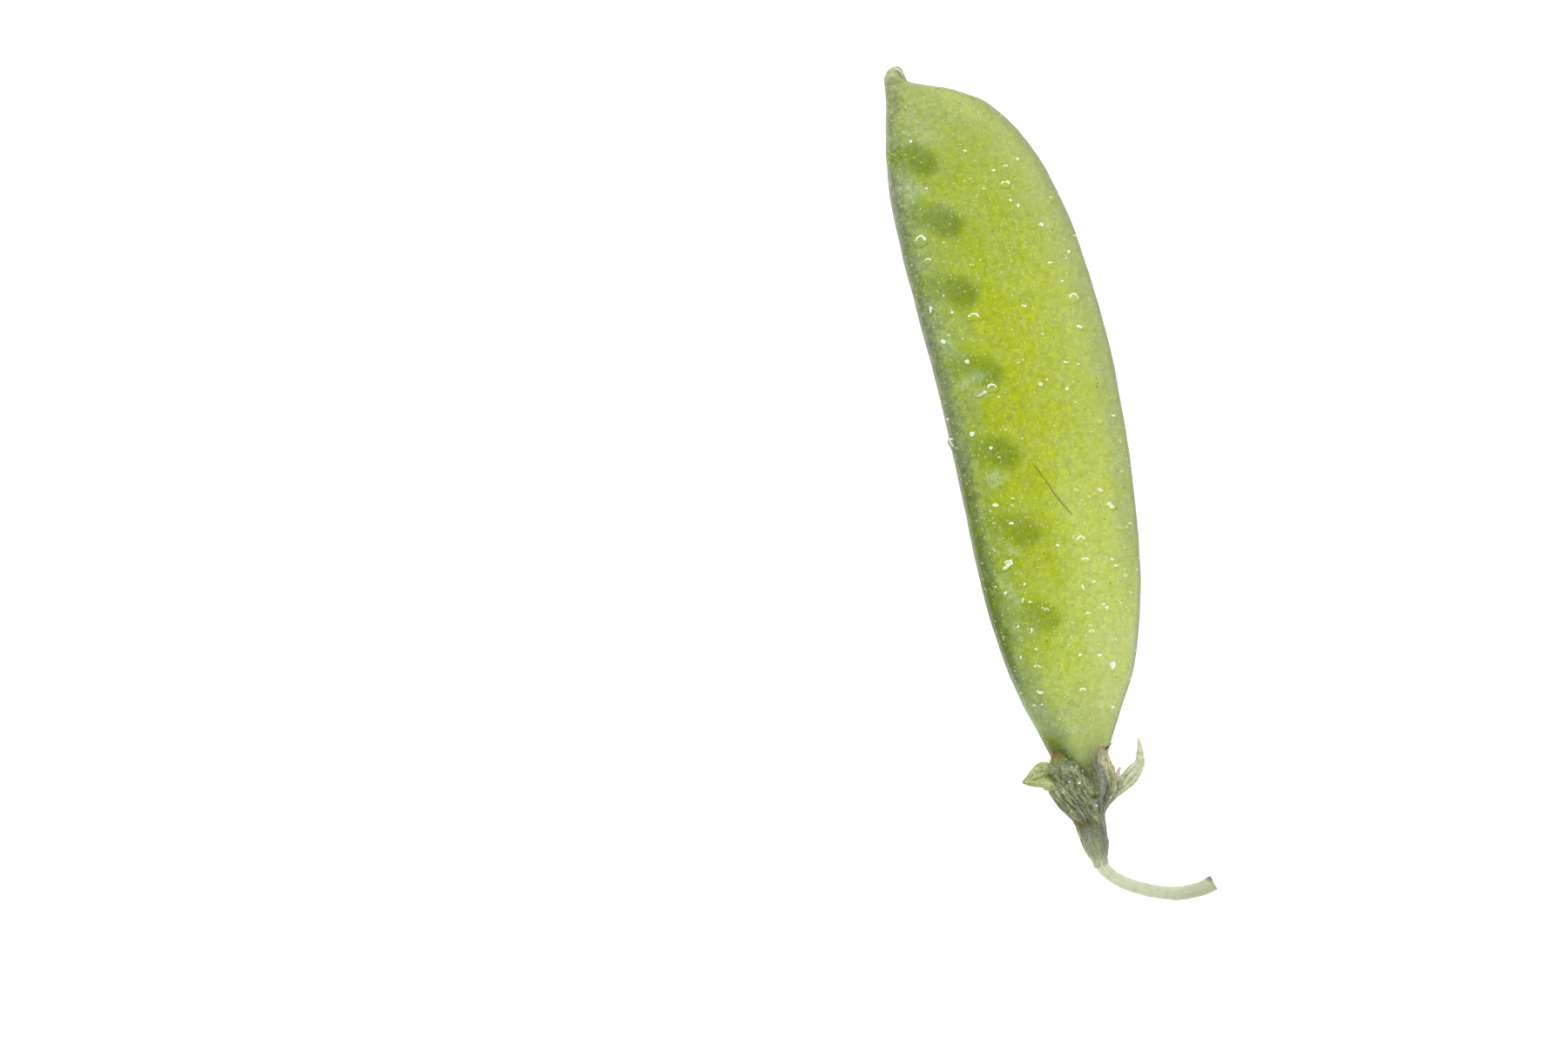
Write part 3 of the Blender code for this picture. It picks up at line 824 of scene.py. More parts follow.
def skin_tree():
    kinds = {name: type(value) for name, value in SKIN_SIZES.items()}
    tree, given = start_tree("pod_skin_tree", pea_places=bpy.types.Object, **kinds)
    guide = given["start"]
    rings = add(tree, "GeometryNodeAttributeDomainSize", {"Geometry": guide}, component="MESH")
    inputs = {"Size X": 1, "Size Y": 1, "Vertices X": rings, "Vertices Y": given["sides"] + 1}
    sheet = add(tree, "GeometryNodeMeshGrid", inputs)
    u, v, _ = split(position(tree))
    ring = ((u + 0.5) * (rings - 1)).math("ROUND")
    turn = v + 0.5
    ventral, along, middle = split(taken(guide, position(tree), ring, "FLOAT_VECTOR"))
    dorsal, half = (taken(guide, named(tree, name), ring) for name in ("dorsal", "half"))
    width = dorsal - ventral

    # Round the section: from the ventral edge over the top to the dorsal edge, and back below.
    over = 1 - (turn * 2 - 1).math("ABSOLUTE")
    side = (0.5 - turn).math("SIGN")
    near = over.math("MINIMUM", 1 - over) * 2
    edge = near ** given["edge_spread"] * 0.5
    beyond = over.math("GREATER_THAN", 0.5)
    across = edge + beyond * (1 - edge * 2)
    x = ventral + width * across
    rounding = (across * (1 - across) * 4).math("MAXIMUM", 0) ** given["edge_rounding"]
    taper = 1 - given["dorsal_thinning"] * across ** given["thinning_power"]

    # The peas swell the skin, and their shadows are painted on it as if seen through it.
    places = add(tree, "GeometryNodeObjectInfo", {"Object": given["pea_places"]}, output="Geometry")
    here = vector(tree, x, along, 0)
    nearest = add(tree, "GeometryNodeSampleNearest", {"Geometry": places, "Sample Position": here})
    pea_x, pea_y, _ = split(taken(places, position(tree), nearest, "FLOAT_VECTOR"))
    dx, dy = x - pea_x, along - pea_y
    swelling = bell(dx, given["bulge_width"]) * bell(dy, given["bulge_length"]) * given["bulge_height"]
    crisp = step(dx * 0.5 - dy * 0.87, -0.6, 1.4) * 0.24
    pea = step(ellipse_distance(dx, dy, PEA_SHADOW), 1.4 - crisp, 0.4 + crisp)
    seed_stalk = step(ellipse_distance(dx, dy, SEED_STALK_SHADOW), 1.3, 0.3) * SEED_STALK_DARKNESS
    shadow = (1 - (1 - pea) * (1 - seed_stalk)) * taken(places, named(tree, "darkness"), nearest)
    wet = 0
    for patch in WET_PATCHES:
        wet = wet + step(ellipse_distance(x, along, patch), 1.2, 0.5) * side.math("MAXIMUM", 0)

    rise = side * (half * taper + swelling) * rounding
    z = middle - half * (1 - taper) + rise
    # A string stands out along the middle of each seam.
    narrow = step(width, 1.5, 9)
    string = bell(rise, given["string_height"])
    back_line = bell(rise, given["back_line_height"])
    at_ventral, at_dorsal = (1 - across) ** SEAM_SHARPNESS, across ** SEAM_SHARPNESS
    x = x + (1 - string) * given["string_depth"] * narrow * at_ventral
    x = x - (1 - back_line) * given["back_line_depth"] * narrow * at_dorsal

    marked = store(
        sheet,
        from_ventral=width * across,
        from_dorsal=width * (1 - across),
        along=along,
        pea=shadow,
        wet=wet,
        string=bell(rise, 0.3) * at_ventral,
        back_line=step(width * (1 - across), 0.55, 0.1) * bell(rise, 1),
    )
    shaped = shift(marked, Position=vector(tree, x, along, z))
    outside_out = add(tree, "GeometryNodeFlipFaces", {"Mesh": shaped})
    closed = add(tree, "GeometryNodeMergeByDistance", {"Geometry": outside_out, "Distance": MERGE_DISTANCE})
    # The skin is never quite even.
    waves = grain(position(tree), 0.3, 2) + grain(position(tree), 1.3, 2) * 0.25 - 0.625
    uneven = roughen(closed, waves * given["unevenness"] * 2)
    x, y, z = split(position(tree))
    rested = shift(uneven, Position=vector(tree, x, y, z.math("MAXIMUM", 0)))
    return end_tree(rested, given["finish"])


def make_skin(finish):
    spots = points_mesh("pea_places", [(x, y, 0.0) for x, y in PEA_PLACES], darkness=PEA_DARKNESS)
    places = shown("pea_places", spots)
    skin = grow("pod_skin", skin_tree(), seam_guide(), pea_places=places, finish=finish, **SKIN_SIZES)
    bpy.data.objects.remove(places)
    return skin


# ---- water drops on the skin

DROP_SIZES = {
    "number_per_area": 0.46,  # to each square millimetre
    "smallest_radius": 0.08,
    "largest_radius": 0.42,
    "flatness": 0.2,
}
DROP_SEGMENTS = 12
DROP_RINGS = 6
BIG_DROP_SEGMENTS = 32
BIG_DROP_RINGS = 16
DROP_START_HEIGHT = 20.0
DROP_SIZE_POWER = 5.5  # higher leaves fewer of the small drops near the largest radius
ARC_ONLY_SHARE = 0.55  # of the small drops, which shine along an arc and not all over
BIG_DROP_SHINE = 0.93
BIG_DROP_LEAN = 0.8  # how nearly a larger drop faces the way the skin under it does
DROP_PULL = 1.5  # how uneven water makes a drop's outline
LIGHT_SIDE = Vector((0.26, 0.97))  # the way, seen from above, that the drops look brightest

# The larger drops: (x, y, half length, share of that across, how far it is turned in degrees, and
# whether the whole drop shines, or only an arc of it).
BIG_DROPS = (
    (-1.8, 61.0, 0.95, 0.8, 10, 0), (-1.6, 58.7, 0.5, 0.7, 0, 0), (8.8, 64.6, 0.75, 0.6, -5, 0),
    (9.3, 66.5, 0.35, 0.8, 0, 0), (10.8, 67.0, 0.2, 0.9, 0, 1), (11.4, 59.4, 0.35, 0.6, -20, 1),
    (9.5, 62.0, 0.28, 0.5, 70, 1), (12.8, 50.8, 0.8, 0.7, -20, 0), (12.6, 47.6, 0.5, 0.4, -25, 1),
    (7.3, 51.3, 0.4, 0.5, -20, 1), (12.0, 52.9, 0.25, 0.6, 0, 1), (10.2, 44.2, 0.45, 0.4, -20, 1),
    (1.6, 51.5, 0.85, 0.55, -10, 0), (-0.5, 52.6, 0.25, 0.8, 0, 1), (-2.6, 53.5, 0.6, 0.35, 75, 1),
    (-2.2, 49.8, 0.42, 0.6, -50, 1), (-0.3, 47.0, 0.38, 0.7, -20, 1), (1.6, 43.6, 0.75, 0.6, -20, 0),
    (0.3, 43.2, 0.9, 0.3, 10, 0.4), (-1.8, 39.3, 0.36, 0.9, 0, 1), (-0.2, 37.3, 0.35, 0.6, -30, 1),
    (13.7, 37.3, 0.3, 0.4, -30, 1), (10.0, 39.8, 0.32, 0.4, -30, 1), (10.2, 29.8, 0.45, 0.5, -30, 0.9),
    (10.9, 27.9, 0.7, 0.5, -35, 0.9), (-1.3, 31.1, 0.48, 0.6, -15, 1), (-0.2, 28.8, 0.4, 0.6, -20, 1),
    (6.7, 25.2, 0.75, 0.8, 20, 0), (6.6, 22.9, 0.55, 0.7, -30, 0), (-1.7, 24.6, 1.0, 0.42, 35, 1),
    (5.6, 20.1, 0.48, 0.4, 85, 1), (6.9, 20.4, 0.3, 0.45, 20, 1), (-0.4, 20.1, 0.35, 0.55, -10, 1),
    (5.4, 17.1, 0.5, 0.6, 85, 0), (-1.1, 17.0, 0.45, 0.4, 60, 1), (5.3, 15.2, 0.45, 0.7, 0, 0),
    (6.6, 11.0, 0.65, 0.6, 60, 1), (2.7, 9.3, 0.5, 0.6, 10, 0), (-1.8, 10.3, 0.6, 0.4, -20, 1),
    (-2.4, 17.8, 0.3, 0.45, 30, 1), (-4.05, 38.9, 0.85, 0.55, 100, 0.5),
    (-3.85, 41.4, 0.4, 0.5, 100, 0.4), (7.9, 66.4, 0.26, 0.6, 20, 1), (6.4, 64.7, 0.26, 0.5, -30, 1),
    (8.85, 62.8, 0.22, 0.8, 0, 1), (13.3, 62.0, 0.28, 0.4, -50, 1), (11.3, 55.15, 0.32, 0.45, -10, 1),
    (13.6, 55.8, 0.24, 0.6, -50, 1), (11.4, 43.7, 0.24, 0.5, -20, 1), (9.5, 41.4, 0.26, 0.7, 0, 1),
    (4.1, 25.2, 0.3, 0.6, -40, 1), (-0.5, 22.1, 0.26, 0.6, 60, 1), (-2.7, 21.7, 0.26, 0.7, 0, 1),
    (9.8, 21.4, 0.4, 0.45, -15, 0.4), (10.6, 18.2, 0.32, 0.3, -40, 1), (7.6, 17.3, 0.27, 0.9, 0, 1),
    (9.2, 17.4, 0.24, 0.6, 20, 1), (-1.0, 14.9, 0.34, 0.5, -30, 1), (-2.9, 14.5, 0.34, 0.4, 80, 1),
    (-1.5, 13.1, 0.42, 0.6, -15, 0), (5.5, 12.5, 0.34, 0.45, -10, 1), (3.4, 13.1, 0.28, 0.6, 0, 1),
    (5.5, 6.6, 0.26, 0.8, 0, 1),
)


def with_centre(tree, spots):
    inputs = {"Geometry": spots, "Name": "centre", "Value": position(tree)}
    return add(tree, "GeometryNodeStoreNamedAttribute", inputs, data_type="FLOAT_VECTOR", domain="POINT")


def drop_on(tree, given, spots, facing, turn, stretch, segments, rings):
    """A flattened ball on each spot, turned about the skin's facing there."""
    ball = unit_ball(tree, segments, rings)
    ball_x, ball_y, _ = split(position(tree))
    ball = store(ball, ball_x=ball_x, ball_y=ball_y)
    inputs = {"Rotation": facing, "Rotate By": vector(tree, 0, 0, turn)}
    turned = add(tree, "FunctionNodeRotateRotation", inputs, rotation_space="LOCAL")
    wide = named(tree, "drop_radius")
    scale = vector(tree, wide, wide * stretch, wide * given["flatness"])
    inputs = {"Points": with_centre(tree, spots), "Instance": ball, "Rotation": turned, "Scale": scale}
    placed = add(tree, "GeometryNodeInstanceOnPoints", inputs)
    return add(tree, "GeometryNodeRealizeInstances", {"Geometry": placed})


def drops_tree():
    kinds = dict.fromkeys(DROP_SIZES, float)
    tree, given = start_tree("drops_tree", seed=int, big_drops=bpy.types.Object, **kinds)
    skin = given["start"]

    def chance(number, low=0, high=1):
        inputs = {2: low, 3: high, "Seed": given["seed"] + number}
        return add(tree, "FunctionNodeRandomValue", inputs, output=1, data_type="FLOAT")

    ventral, along = named(tree, "from_ventral"), named(tree, "along")
    _, _, facing_up = split(add(tree, "GeometryNodeInputNormal"))
    clumps = step(grain(position(tree), 0.22, 2), 0.4, 0.62)
    crowd = 0.35 + clumps * 0.5 + step(ventral, 6, 1.5) * 0.3
    crowd = (crowd + step(along, 48, 20) * 0.45) * (1 - step(along, 52, 60) * 0.3)
    seam = step(ventral, 1.3, 0.3) * step(along, 50, 40) * step(along, 8, 20) * 2.5
    wanted = (crowd + seam) * step(facing_up, 0.15, 0.6) * step(along, 6, 9)
    inputs = {"Mesh": skin, "Density": wanted * given["number_per_area"], "Seed": given["seed"]}
    spots = add(tree, "GeometryNodeDistributePointsOnFaces", inputs, output="Points")
    size = chance(1) ** DROP_SIZE_POWER
    radius = given["smallest_radius"] + size * (given["largest_radius"] - given["smallest_radius"])
    facing = spots.out("Rotation")
    filled = chance(9).math("GREATER_THAN", ARC_ONLY_SHARE)
    spots = store(spots, drop_radius=radius, drop_chance=chance(7), drop_filled=filled)
    turn, stretch = chance(2, 0, math.tau), chance(3, 0.35, 0.9)
    small = drop_on(tree, given, spots, facing, turn, stretch, DROP_SEGMENTS, DROP_RINGS)

    # Each larger drop is let down onto the skin from above.
    above = add(tree, "GeometryNodeObjectInfo", {"Object": given["big_drops"]}, output="Geometry")
    fall = {"Target Geometry": skin, "Ray Direction": (0, 0, -1), "Ray Length": 2 * DROP_START_HEIGHT}
    hit = add(tree, "GeometryNodeRaycast", fall, output="Hit Position", data_type="FLOAT")
    half_length, full = named(tree, "half_length"), named(tree, "full")
    landed = shift(above, Position=hit)
    landed = store(landed, drop_radius=half_length, drop_chance=BIG_DROP_SHINE, drop_filled=full)
    turn, stretch = named(tree, "turn"), named(tree, "stretch")
    inputs = {"Mesh": skin, "Value": add(tree, "GeometryNodeInputNormal")}
    slope = add(tree, "GeometryNodeSampleNearestSurface", inputs, data_type="FLOAT_VECTOR")
    inputs = {"Vector": slope, "Factor": BIG_DROP_LEAN}
    tilt = add(tree, "FunctionNodeAlignRotationToVector", inputs, axis="Z")
    big = drop_on(tree, given, landed, tilt, turn, stretch, BIG_DROP_SEGMENTS, BIG_DROP_RINGS)

    # Water pulls into uneven shapes.
    drops = add(tree, "GeometryNodeJoinGeometry")
    for part in (small, big):
        tree.links.new(part.socket, drops.socket.node.inputs[0])
    centre = add(tree, "GeometryNodeInputNamedAttribute", {"Name": "centre"}, data_type="FLOAT_VECTOR")
    push = (grain(position(tree), 1.9, 1) - 0.5) * DROP_PULL
    pushed = position(tree).vector_math("SUBTRACT", centre).vector_math("SCALE", push)
    shaped = shift(drops, Offset=pushed)
    # The skin shows through them.
    for name in SKIN_MARKS:
        under = add(tree, "GeometryNodeSampleNearestSurface", {"Mesh": skin, "Value": named(tree, name)})
        shaped = store(shaped, **{name: under})
    return end_tree(shaped, given["finish"])


def make_drops(skin, finish):
    start = skin.data.copy()
    start.transform(TO_WORLD.inverted())
    x, y, half_length, stretch, degrees, full = zip(*BIG_DROPS)
    spots = [(*spot, DROP_START_HEIGHT) for spot in zip(x, y)]
    turn = [math.radians(value) for value in degrees]
    marks = {"half_length": half_length, "stretch": stretch, "turn": turn, "full": full}
    above = shown("big_drops", points_mesh("big_drops", spots, **marks))
    drops = grow("water_drops", drops_tree(), start, seed=7, big_drops=above, finish=finish, **DROP_SIZES)
    bpy.data.objects.remove(above)
    return drops


# ---- peas

PEA_SEGMENTS = 48
PEA_RINGS = 72
PEA_UNEVENNESS = 0.12


def pea_tree():
    sizes = ("reach", "radius", "thickness", "stalk_radius", "stalk_length", "unevenness")
    tree, given = start_tree("pea_tree", **dict.fromkeys(sizes, float))
    ball = unit_ball(tree, PEA_SEGMENTS, PEA_RINGS)
    x, y, z = split(position(tree))
    out = (x * x + y * y).math("SQRT")
    angle = out.math("ARCTAN2", z)
    # Close to its pole the ball is drawn out into the seed stalk, in an eased curve.
    share = step(angle, 0.42, 0.08)
    rounded = step(angle, 0, 0.05)
    stalk_out = given["stalk_radius"] * rounded
    wide = given["radius"] * out
    new_out = wide + share * (stalk_out - wide)
    height = given["reach"] * z + step(angle, 0.3, 0) * given["stalk_length"]
    factor = new_out / out.math("MAXIMUM", 0.001)
    flat = given["thickness"] / given["radius"]
    shaped = shift(ball, Position=vector(tree, x * factor * flat, y * factor, height))
    return end_tree(roughen(shaped, lumps(tree, 0.9) * given["unevenness"]), given["finish"])


def make_pea(number, tree, finish):
    x, y = PEA_PLACES[number - 1]
    scale = PEA_END_SCALE if number in (1, len(PEA_PLACES)) else 1.0
    reach = PEA_HALF.x * scale
    to_seam = x - smooth_value(POD_STATIONS, 1, y) - SEED_STALK_END
    pea = grow(
        f"pea_{number}_seed",
        tree,
        bpy.data.meshes.new("nothing"),
        reach=reach,
        radius=PEA_HALF.y * scale,
        thickness=PEA_HALF.z * scale,
        stalk_radius=SEED_STALK_RADIUS,
        stalk_length=to_seam / math.cos(PEA_SLANT) - reach,
        unevenness=PEA_UNEVENNESS,
        finish=finish,
    )
    # Its seed stalk leans towards the beak, out to the ventral seam.
    low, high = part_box(f"pea_{number}")
    turn = Matrix.Rotation(-PEA_SLANT, 4, "Z") @ Matrix.Rotation(-math.pi / 2, 4, "Y")
    spot = TO_WORLD @ Vector((x, y, 0.0))
    spot.z = (low.z + high.z) / 2
    pea.data.transform(Matrix.Translation(spot) @ turn @ Matrix.Translation(-ORIGIN))
    return pea


# ---- calyx cup

CUP_SIDES = 120
CUP_STEPS = 110
CUP_RIBS = 10
CUP_RIB_HEIGHT = 0.07
CUP_CRUMPLE = 0.16
CUP_LUMPS = ((0.8, 1.0), (2.3, 0.4))  # the crumpling's two noises: (scale, share of its depth)
CUP_SWELLING = 0.6
CUP_SWELLING_RADII = (0.2, 1.5)  # it swells by the same share of any radius between these
RIB_START_STEPS = 6  # below the lip
LIP = 4  # the number of the lip's point in the profile
# Its lip reaches out under each sepal: by how much, over what angle, and from where up the cup.
LIP_REACH = 0.9
LIP_WIDTH = math.radians(30)
LIP_START = -5.0
SEPAL_TURNS = tuple(math.radians(value) for value in (5, 55, 108, 165, 270))


def lip_reach(turn, along):
    """How far the cup's wall is drawn out towards the beak at a turn from X over the top."""
    off = min(abs(math.remainder(turn - sepal, math.tau)) for sepal in SEPAL_TURNS)
    share = clamp((along - LIP_START) / (CUP_PROFILE[LIP][1] - LIP_START))
    return LIP_REACH * math.exp(-((off / LIP_WIDTH) ** 2)) * share * share


def on_cup(spot, lift):
    """The place on the cup's outside, or this far off it, that is nearest on the way to its axis."""
    outside = [(-along, radius) for radius, along in CUP_PROFILE[LIP + 1 :]]
    radius = smooth_value(outside, 1, -spot.y) + lift
    x, z = spot.x - CUP_MIDDLE.x, (spot.z - CUP_MIDDLE.z) / CUP_FLATTENING
    out = math.hypot(x, z)
    x, z = x / out * radius, z / out * radius * CUP_FLATTENING
    return Vector((CUP_MIDDLE.x + x, spot.y, CUP_MIDDLE.z + z))


def make_cup(finish):
    """The turned cup, pressed a little flat, with ribs down its outside and a crumpled wall."""
    build = bmesh.new()
    layers = {name: build.verts.layers.float.new(name) for name in ("down_cup", "ring_x", "ring_y")}
    path = along_points(CUP_PROFILE, CUP_STEPS)
    low, high = CUP_PROFILE[-1][1], CUP_PROFILE[LIP][1]
    lip = LIP * CUP_STEPS / (len(CUP_PROFILE) - 1)
    least, most = CUP_SWELLING_RADII
    rings = []
    for i, (radius, along) in enumerate(path):
        outside = clamp((i - lip) / RIB_START_STEPS)
        sides = 1 if i in (0, CUP_STEPS) else CUP_SIDES
        ring = []
        for k in range(sides):
            turn = math.tau * k / CUP_SIDES
            spot = Vector((radius * math.cos(turn), along, radius * math.sin(turn)))
            swell = sum(noise.noise(spot * scale) * CUP_CRUMPLE * share for scale, share in CUP_LUMPS)
            swell += outside * CUP_RIB_HEIGHT * math.cos(CUP_RIBS * turn + noise.noise(spot * 0.7))
            scale = 1 + swell * min(radius, most) / max(radius, least) * CUP_SWELLING
            reach = along + lip_reach(turn, along)
            spot = Vector((spot.x * scale, reach, spot.z * scale * CUP_FLATTENING))
            vert = build.verts.new(spot + CUP_MIDDLE)
            vert[layers["down_cup"]] = (high - along) / (high - low)
            vert[layers["ring_x"]] = math.cos(turn)
            vert[layers["ring_y"]] = math.sin(turn)
            ring.append(vert)
        rings.append(ring)
    for here, ahead in zip(rings, rings[1:]):
        for k in range(CUP_SIDES):
            corners = ((here, k), (here, k + 1), (ahead, k + 1), (ahead, k))
            build.faces.new(dict.fromkeys(ring[i % len(ring)] for ring, i in corners))
    return place("cup", smooth_mesh(build, "cup", finish))


# ---- sepals

LOBE_ROWS = 72
LOBE_COLUMNS = 32
LOBE_THICKNESS = 0.2
LOBE_SINK = 0.16  # how far inside the cup's wall it starts
LOBE_LIFT = 0.26  # how much further out than that it lies, once it is out of the wall
LOBE_FOOT = 0.18  # the share of its length over which it comes out of the wall
EDGE_RAGGEDNESS = 0.1
FOLD_WANDER = 1.5
FOLD_POWER = 0.7  # lower makes its folds sharper
CRUMPLE_SCALE, FINE_CRUMPLE_SCALE, FINE_CRUMPLE_SHARE = 0.9, 2.6, 0.25
CLING_END, LOOSE_START = -4.2, -1.9  # a lobe follows the cup up to the first and is free from the second

# Each lobe's shape and colours. The spine is rows of (x, y, z, half width) along its middle. Facing is
# the way its inner face looks, droop how far its edges hang down, folds how many run along it,
# fold_depth and crumple how deep those and its crumples are. The colours are what leaf_finish takes.
LOBES = {
    "sepal_left": (
        dict(
            facing=(0.2, 0.0, 1.0), droop=0.5, folds=2.0, fold_depth=0.3, crumple=0.5, seed=3.0,
            spine=(
                (-0.9, -4.2, 3.2, 0.5), (-1.5, -2.3, 3.5, 0.7), (-2.1, -0.6, 3.5, 1.0),
                (-2.9, 0.9, 3.3, 1.45), (-3.8, 1.4, 3.1, 1.45), (-4.8, 1.3, 2.8, 1.0),
                (-5.6, 1.25, 2.6, 0.5), (-6.15, 1.3, 2.4, 0.08),
            ),
        ),
        dict(
            dark=(138, 150, 92), pale=(196, 204, 146), tip=(178, 184, 124), dryness=0.92, seed=1.0,
            own=(0.2, 0.4),
        ),
    ),
    "sepal_front_left": (
        dict(
            facing=(-0.3, 0.0, 1.0), droop=0.9, folds=5.0, fold_depth=0.2, crumple=0.35, seed=11.0,
            spine=(
                (-0.5, -5.0, 3.6, 1.1), (-0.5, -3.9, 3.95, 1.75), (-0.6, -2.9, 4.25, 2.15),
                (-1.15, -1.5, 4.45, 2.4), (-1.6, -0.2, 4.5, 2.35), (-1.75, 1.4, 4.5, 1.7),
                (-1.95, 2.7, 4.5, 0.9), (-1.95, 3.8, 4.4, 0.22),
            ),
        ),
        dict(
            dark=(112, 126, 54), pale=(148, 158, 100), tip=(128, 86, 68), dryness=0.84, seed=2.0,
            own=(0.76, 0.88),
        ),
    ),
    "sepal_front_right": (
        dict(
            facing=(0.4, 0.0, 1.0), droop=0.7, folds=2.5, fold_depth=0.25, crumple=0.35, seed=23.0,
            spine=(
                (1.0, -5.0, 3.4, 0.6), (1.5, -3.7, 3.8, 0.9), (2.0, -2.6, 4.1, 1.35),
                (2.4, -1.0, 4.25, 1.7), (2.6, 0.5, 4.4, 1.55), (2.85, 1.6, 4.45, 1.0),
                (3.12, 2.95, 4.4, 0.26),
            ),
        ),
        dict(
            dark=(140, 138, 94), pale=(228, 222, 180), tip=(152, 128, 106), dryness=0.86, seed=3.0,
            own=(0.54, 0.8), lean=0.36,
            stripes=((-0.75, 0.24, 0.6, (100, 100, 54)), (-0.2, 0.25, 0.4, (152, 150, 152))),
        ),
    ),
    "sepal_right": (
        dict(
            facing=(-0.2, 0.0, 1.0), droop=0.25, folds=1.0, fold_depth=0.15, crumple=0.25, seed=31.0,
            spine=(
                (1.3, -4.4, 2.6, 0.4), (2.2, -3.3, 2.5, 0.55), (3.1, -2.75, 2.4, 0.62),
                (4.1, -2.0, 2.5, 0.78), (5.1, -1.3, 2.6, 0.84), (6.05, -0.6, 2.8, 0.74),
                (6.7, 0.1, 3.0, 0.5), (7.05, 1.3, 3.1, 0.34), (7.3, 2.75, 3.1, 0.08),
            ),
        ),
        dict(
            dark=(174, 184, 138), pale=(234, 238, 208), tip=(240, 238, 210), dryness=0.8, seed=4.0,
            own=(0.16, 0.42),
        ),
    ),
    "sepal_under": (
        dict(
            facing=(0.0, 0.0, 1.0), droop=-0.5, folds=2.0, fold_depth=0.08, crumple=0.08, seed=43.0,
            spine=(
                (0.1, -4.4, 0.7, 0.8), (0.2, -3.6, 0.5, 1.2), (0.3, -2.6, 0.45, 1.5),
                (0.4, -0.6, 0.55, 1.6), (0.5, 1.6, 0.55, 1.0), (0.6, 3.4, 0.42, 0.1),
            ),
        ),
        dict(
            dark=(122, 134, 84), pale=(160, 170, 120), tip=(150, 130, 104), dryness=0.9, seed=5.0,
            own=(0.4, 0.7),
        ),
    ),
}


def make_lobe(name, finish, spine, facing, droop, folds, fold_depth, crumple, seed):
    """A crumpled sheet across the lobe's middle line, given its thickness by Solidify."""
    build = bmesh.new()
    up_leaf = build.verts.layers.float.new("up_leaf")
    across_leaf = build.verts.layers.float.new("across_leaf")
    facing = Vector(facing).normalized()
    widest = max(row[3] for row in spine)
    path = [(Vector(row[:3]), row[3]) for row in along_points(spine, LOBE_ROWS)]
    grid = []
    for i, (middle, half_width) in enumerate(path):
        ahead = path[min(i + 1, LOBE_ROWS)][0] - path[max(i - 1, 0)][0]
        side = ahead.cross(facing).normalized()
        up = side.cross(ahead).normalized()
        share = i / LOBE_ROWS
        eased = math.sin(math.pi * min(share * 1.2, 1.0) ** 0.8) if share < 0.83 else 0.0
        row = []
        for k in range(LOBE_COLUMNS + 1):
            across = 2 * k / LOBE_COLUMNS - 1
            edge_noise = noise.noise(Vector((share * 7, math.copysign(3, across), seed)))
            ragged = 1 + EDGE_RAGGEDNESS * edge_noise * abs(across)
            flat = middle + side * across * half_width * ragged
            wander = FOLD_WANDER * noise.noise(Vector((share * 3, 0, seed)))
            fold = 1 - 2 * abs(math.sin(math.pi * folds * across / 2 + wander)) ** FOLD_POWER
            lift = -fold_depth * fold * eased * (1 - across**4)
            lift -= droop * across * across * half_width / widest
            where = Vector((flat.x, flat.y, seed))
            lift += crumple * noise.noise(where * CRUMPLE_SCALE) * (0.35 + eased)
            lift += crumple * FINE_CRUMPLE_SHARE * noise.noise(where * FINE_CRUMPLE_SCALE)
            free = flat + up * lift
            # Its foot lies on the cup, and starts inside the cup's wall.
            loose = smooth_share(free.y, CLING_END, LOOSE_START)
            foot = on_cup(free, LOBE_LIFT * smooth_share(share, 0.0, LOBE_FOOT) - LOBE_SINK)
            vert = build.verts.new(foot.lerp(free, loose))
            vert[up_leaf], vert[across_leaf] = share, across
            row.append(vert)
        grid.append(row)
    for here, ahead in zip(grid, grid[1:]):
        for k in range(LOBE_COLUMNS):
            build.faces.new((here[k], ahead[k], ahead[k + 1], here[k + 1]))
    holder = shown(name + "_sheet", smooth_mesh(build, name, finish))
    solid = holder.modifiers.new("thickness", "SOLIDIFY")
    solid.thickness = LOBE_THICKNESS
    solid.offset = 0.0
    return place(name + "_leaf", modified(holder))


# ---- stalk and shreds

# Tubes: (x, y, z, radius) along the middle of each.
STALK = (
    (-0.15, -8.6, 2.3, 0.80), (-0.1, -9.6, 2.3, 0.70), (0.5, -10.9, 2.2, 0.69), (1.9, -12.3, 2.0, 0.70),
    (3.7, -13.45, 1.7, 0.71), (5.8, -14.45, 1.45, 0.72), (7.7, -15.0, 1.2, 0.74), (9.6, -15.1, 1.0, 0.78),
    (11.22, -14.8, 1.0, 0.86), (11.25, -14.79, 1.0, 0.84), (11.28, -14.785, 1.0, 0.03),
)
SHREDS = (
    ((3.1, -2.2, 3.3, 0.14), (3.5, -1.3, 3.3, 0.2), (3.9, -0.7, 3.3, 0.26), (4.5, 0.2, 3.3, 0.12)),
    ((2.9, 2.0, 4.1, 0.08), (3.4, 2.6, 4.2, 0.1), (3.85, 2.8, 4.15, 0.075), (4.45, 3.15, 4.15, 0.035)),
)
STYLE = (
    (0.35, 80.08, 1.95, 0.1), (0.85, 79.72, 2.0, 0.16), (1.04, 79.25, 1.95, 0.14), (1.0, 78.85, 1.8, 0.06),
)
TUBE_STEPS = 12  # rings between two of a tube's points


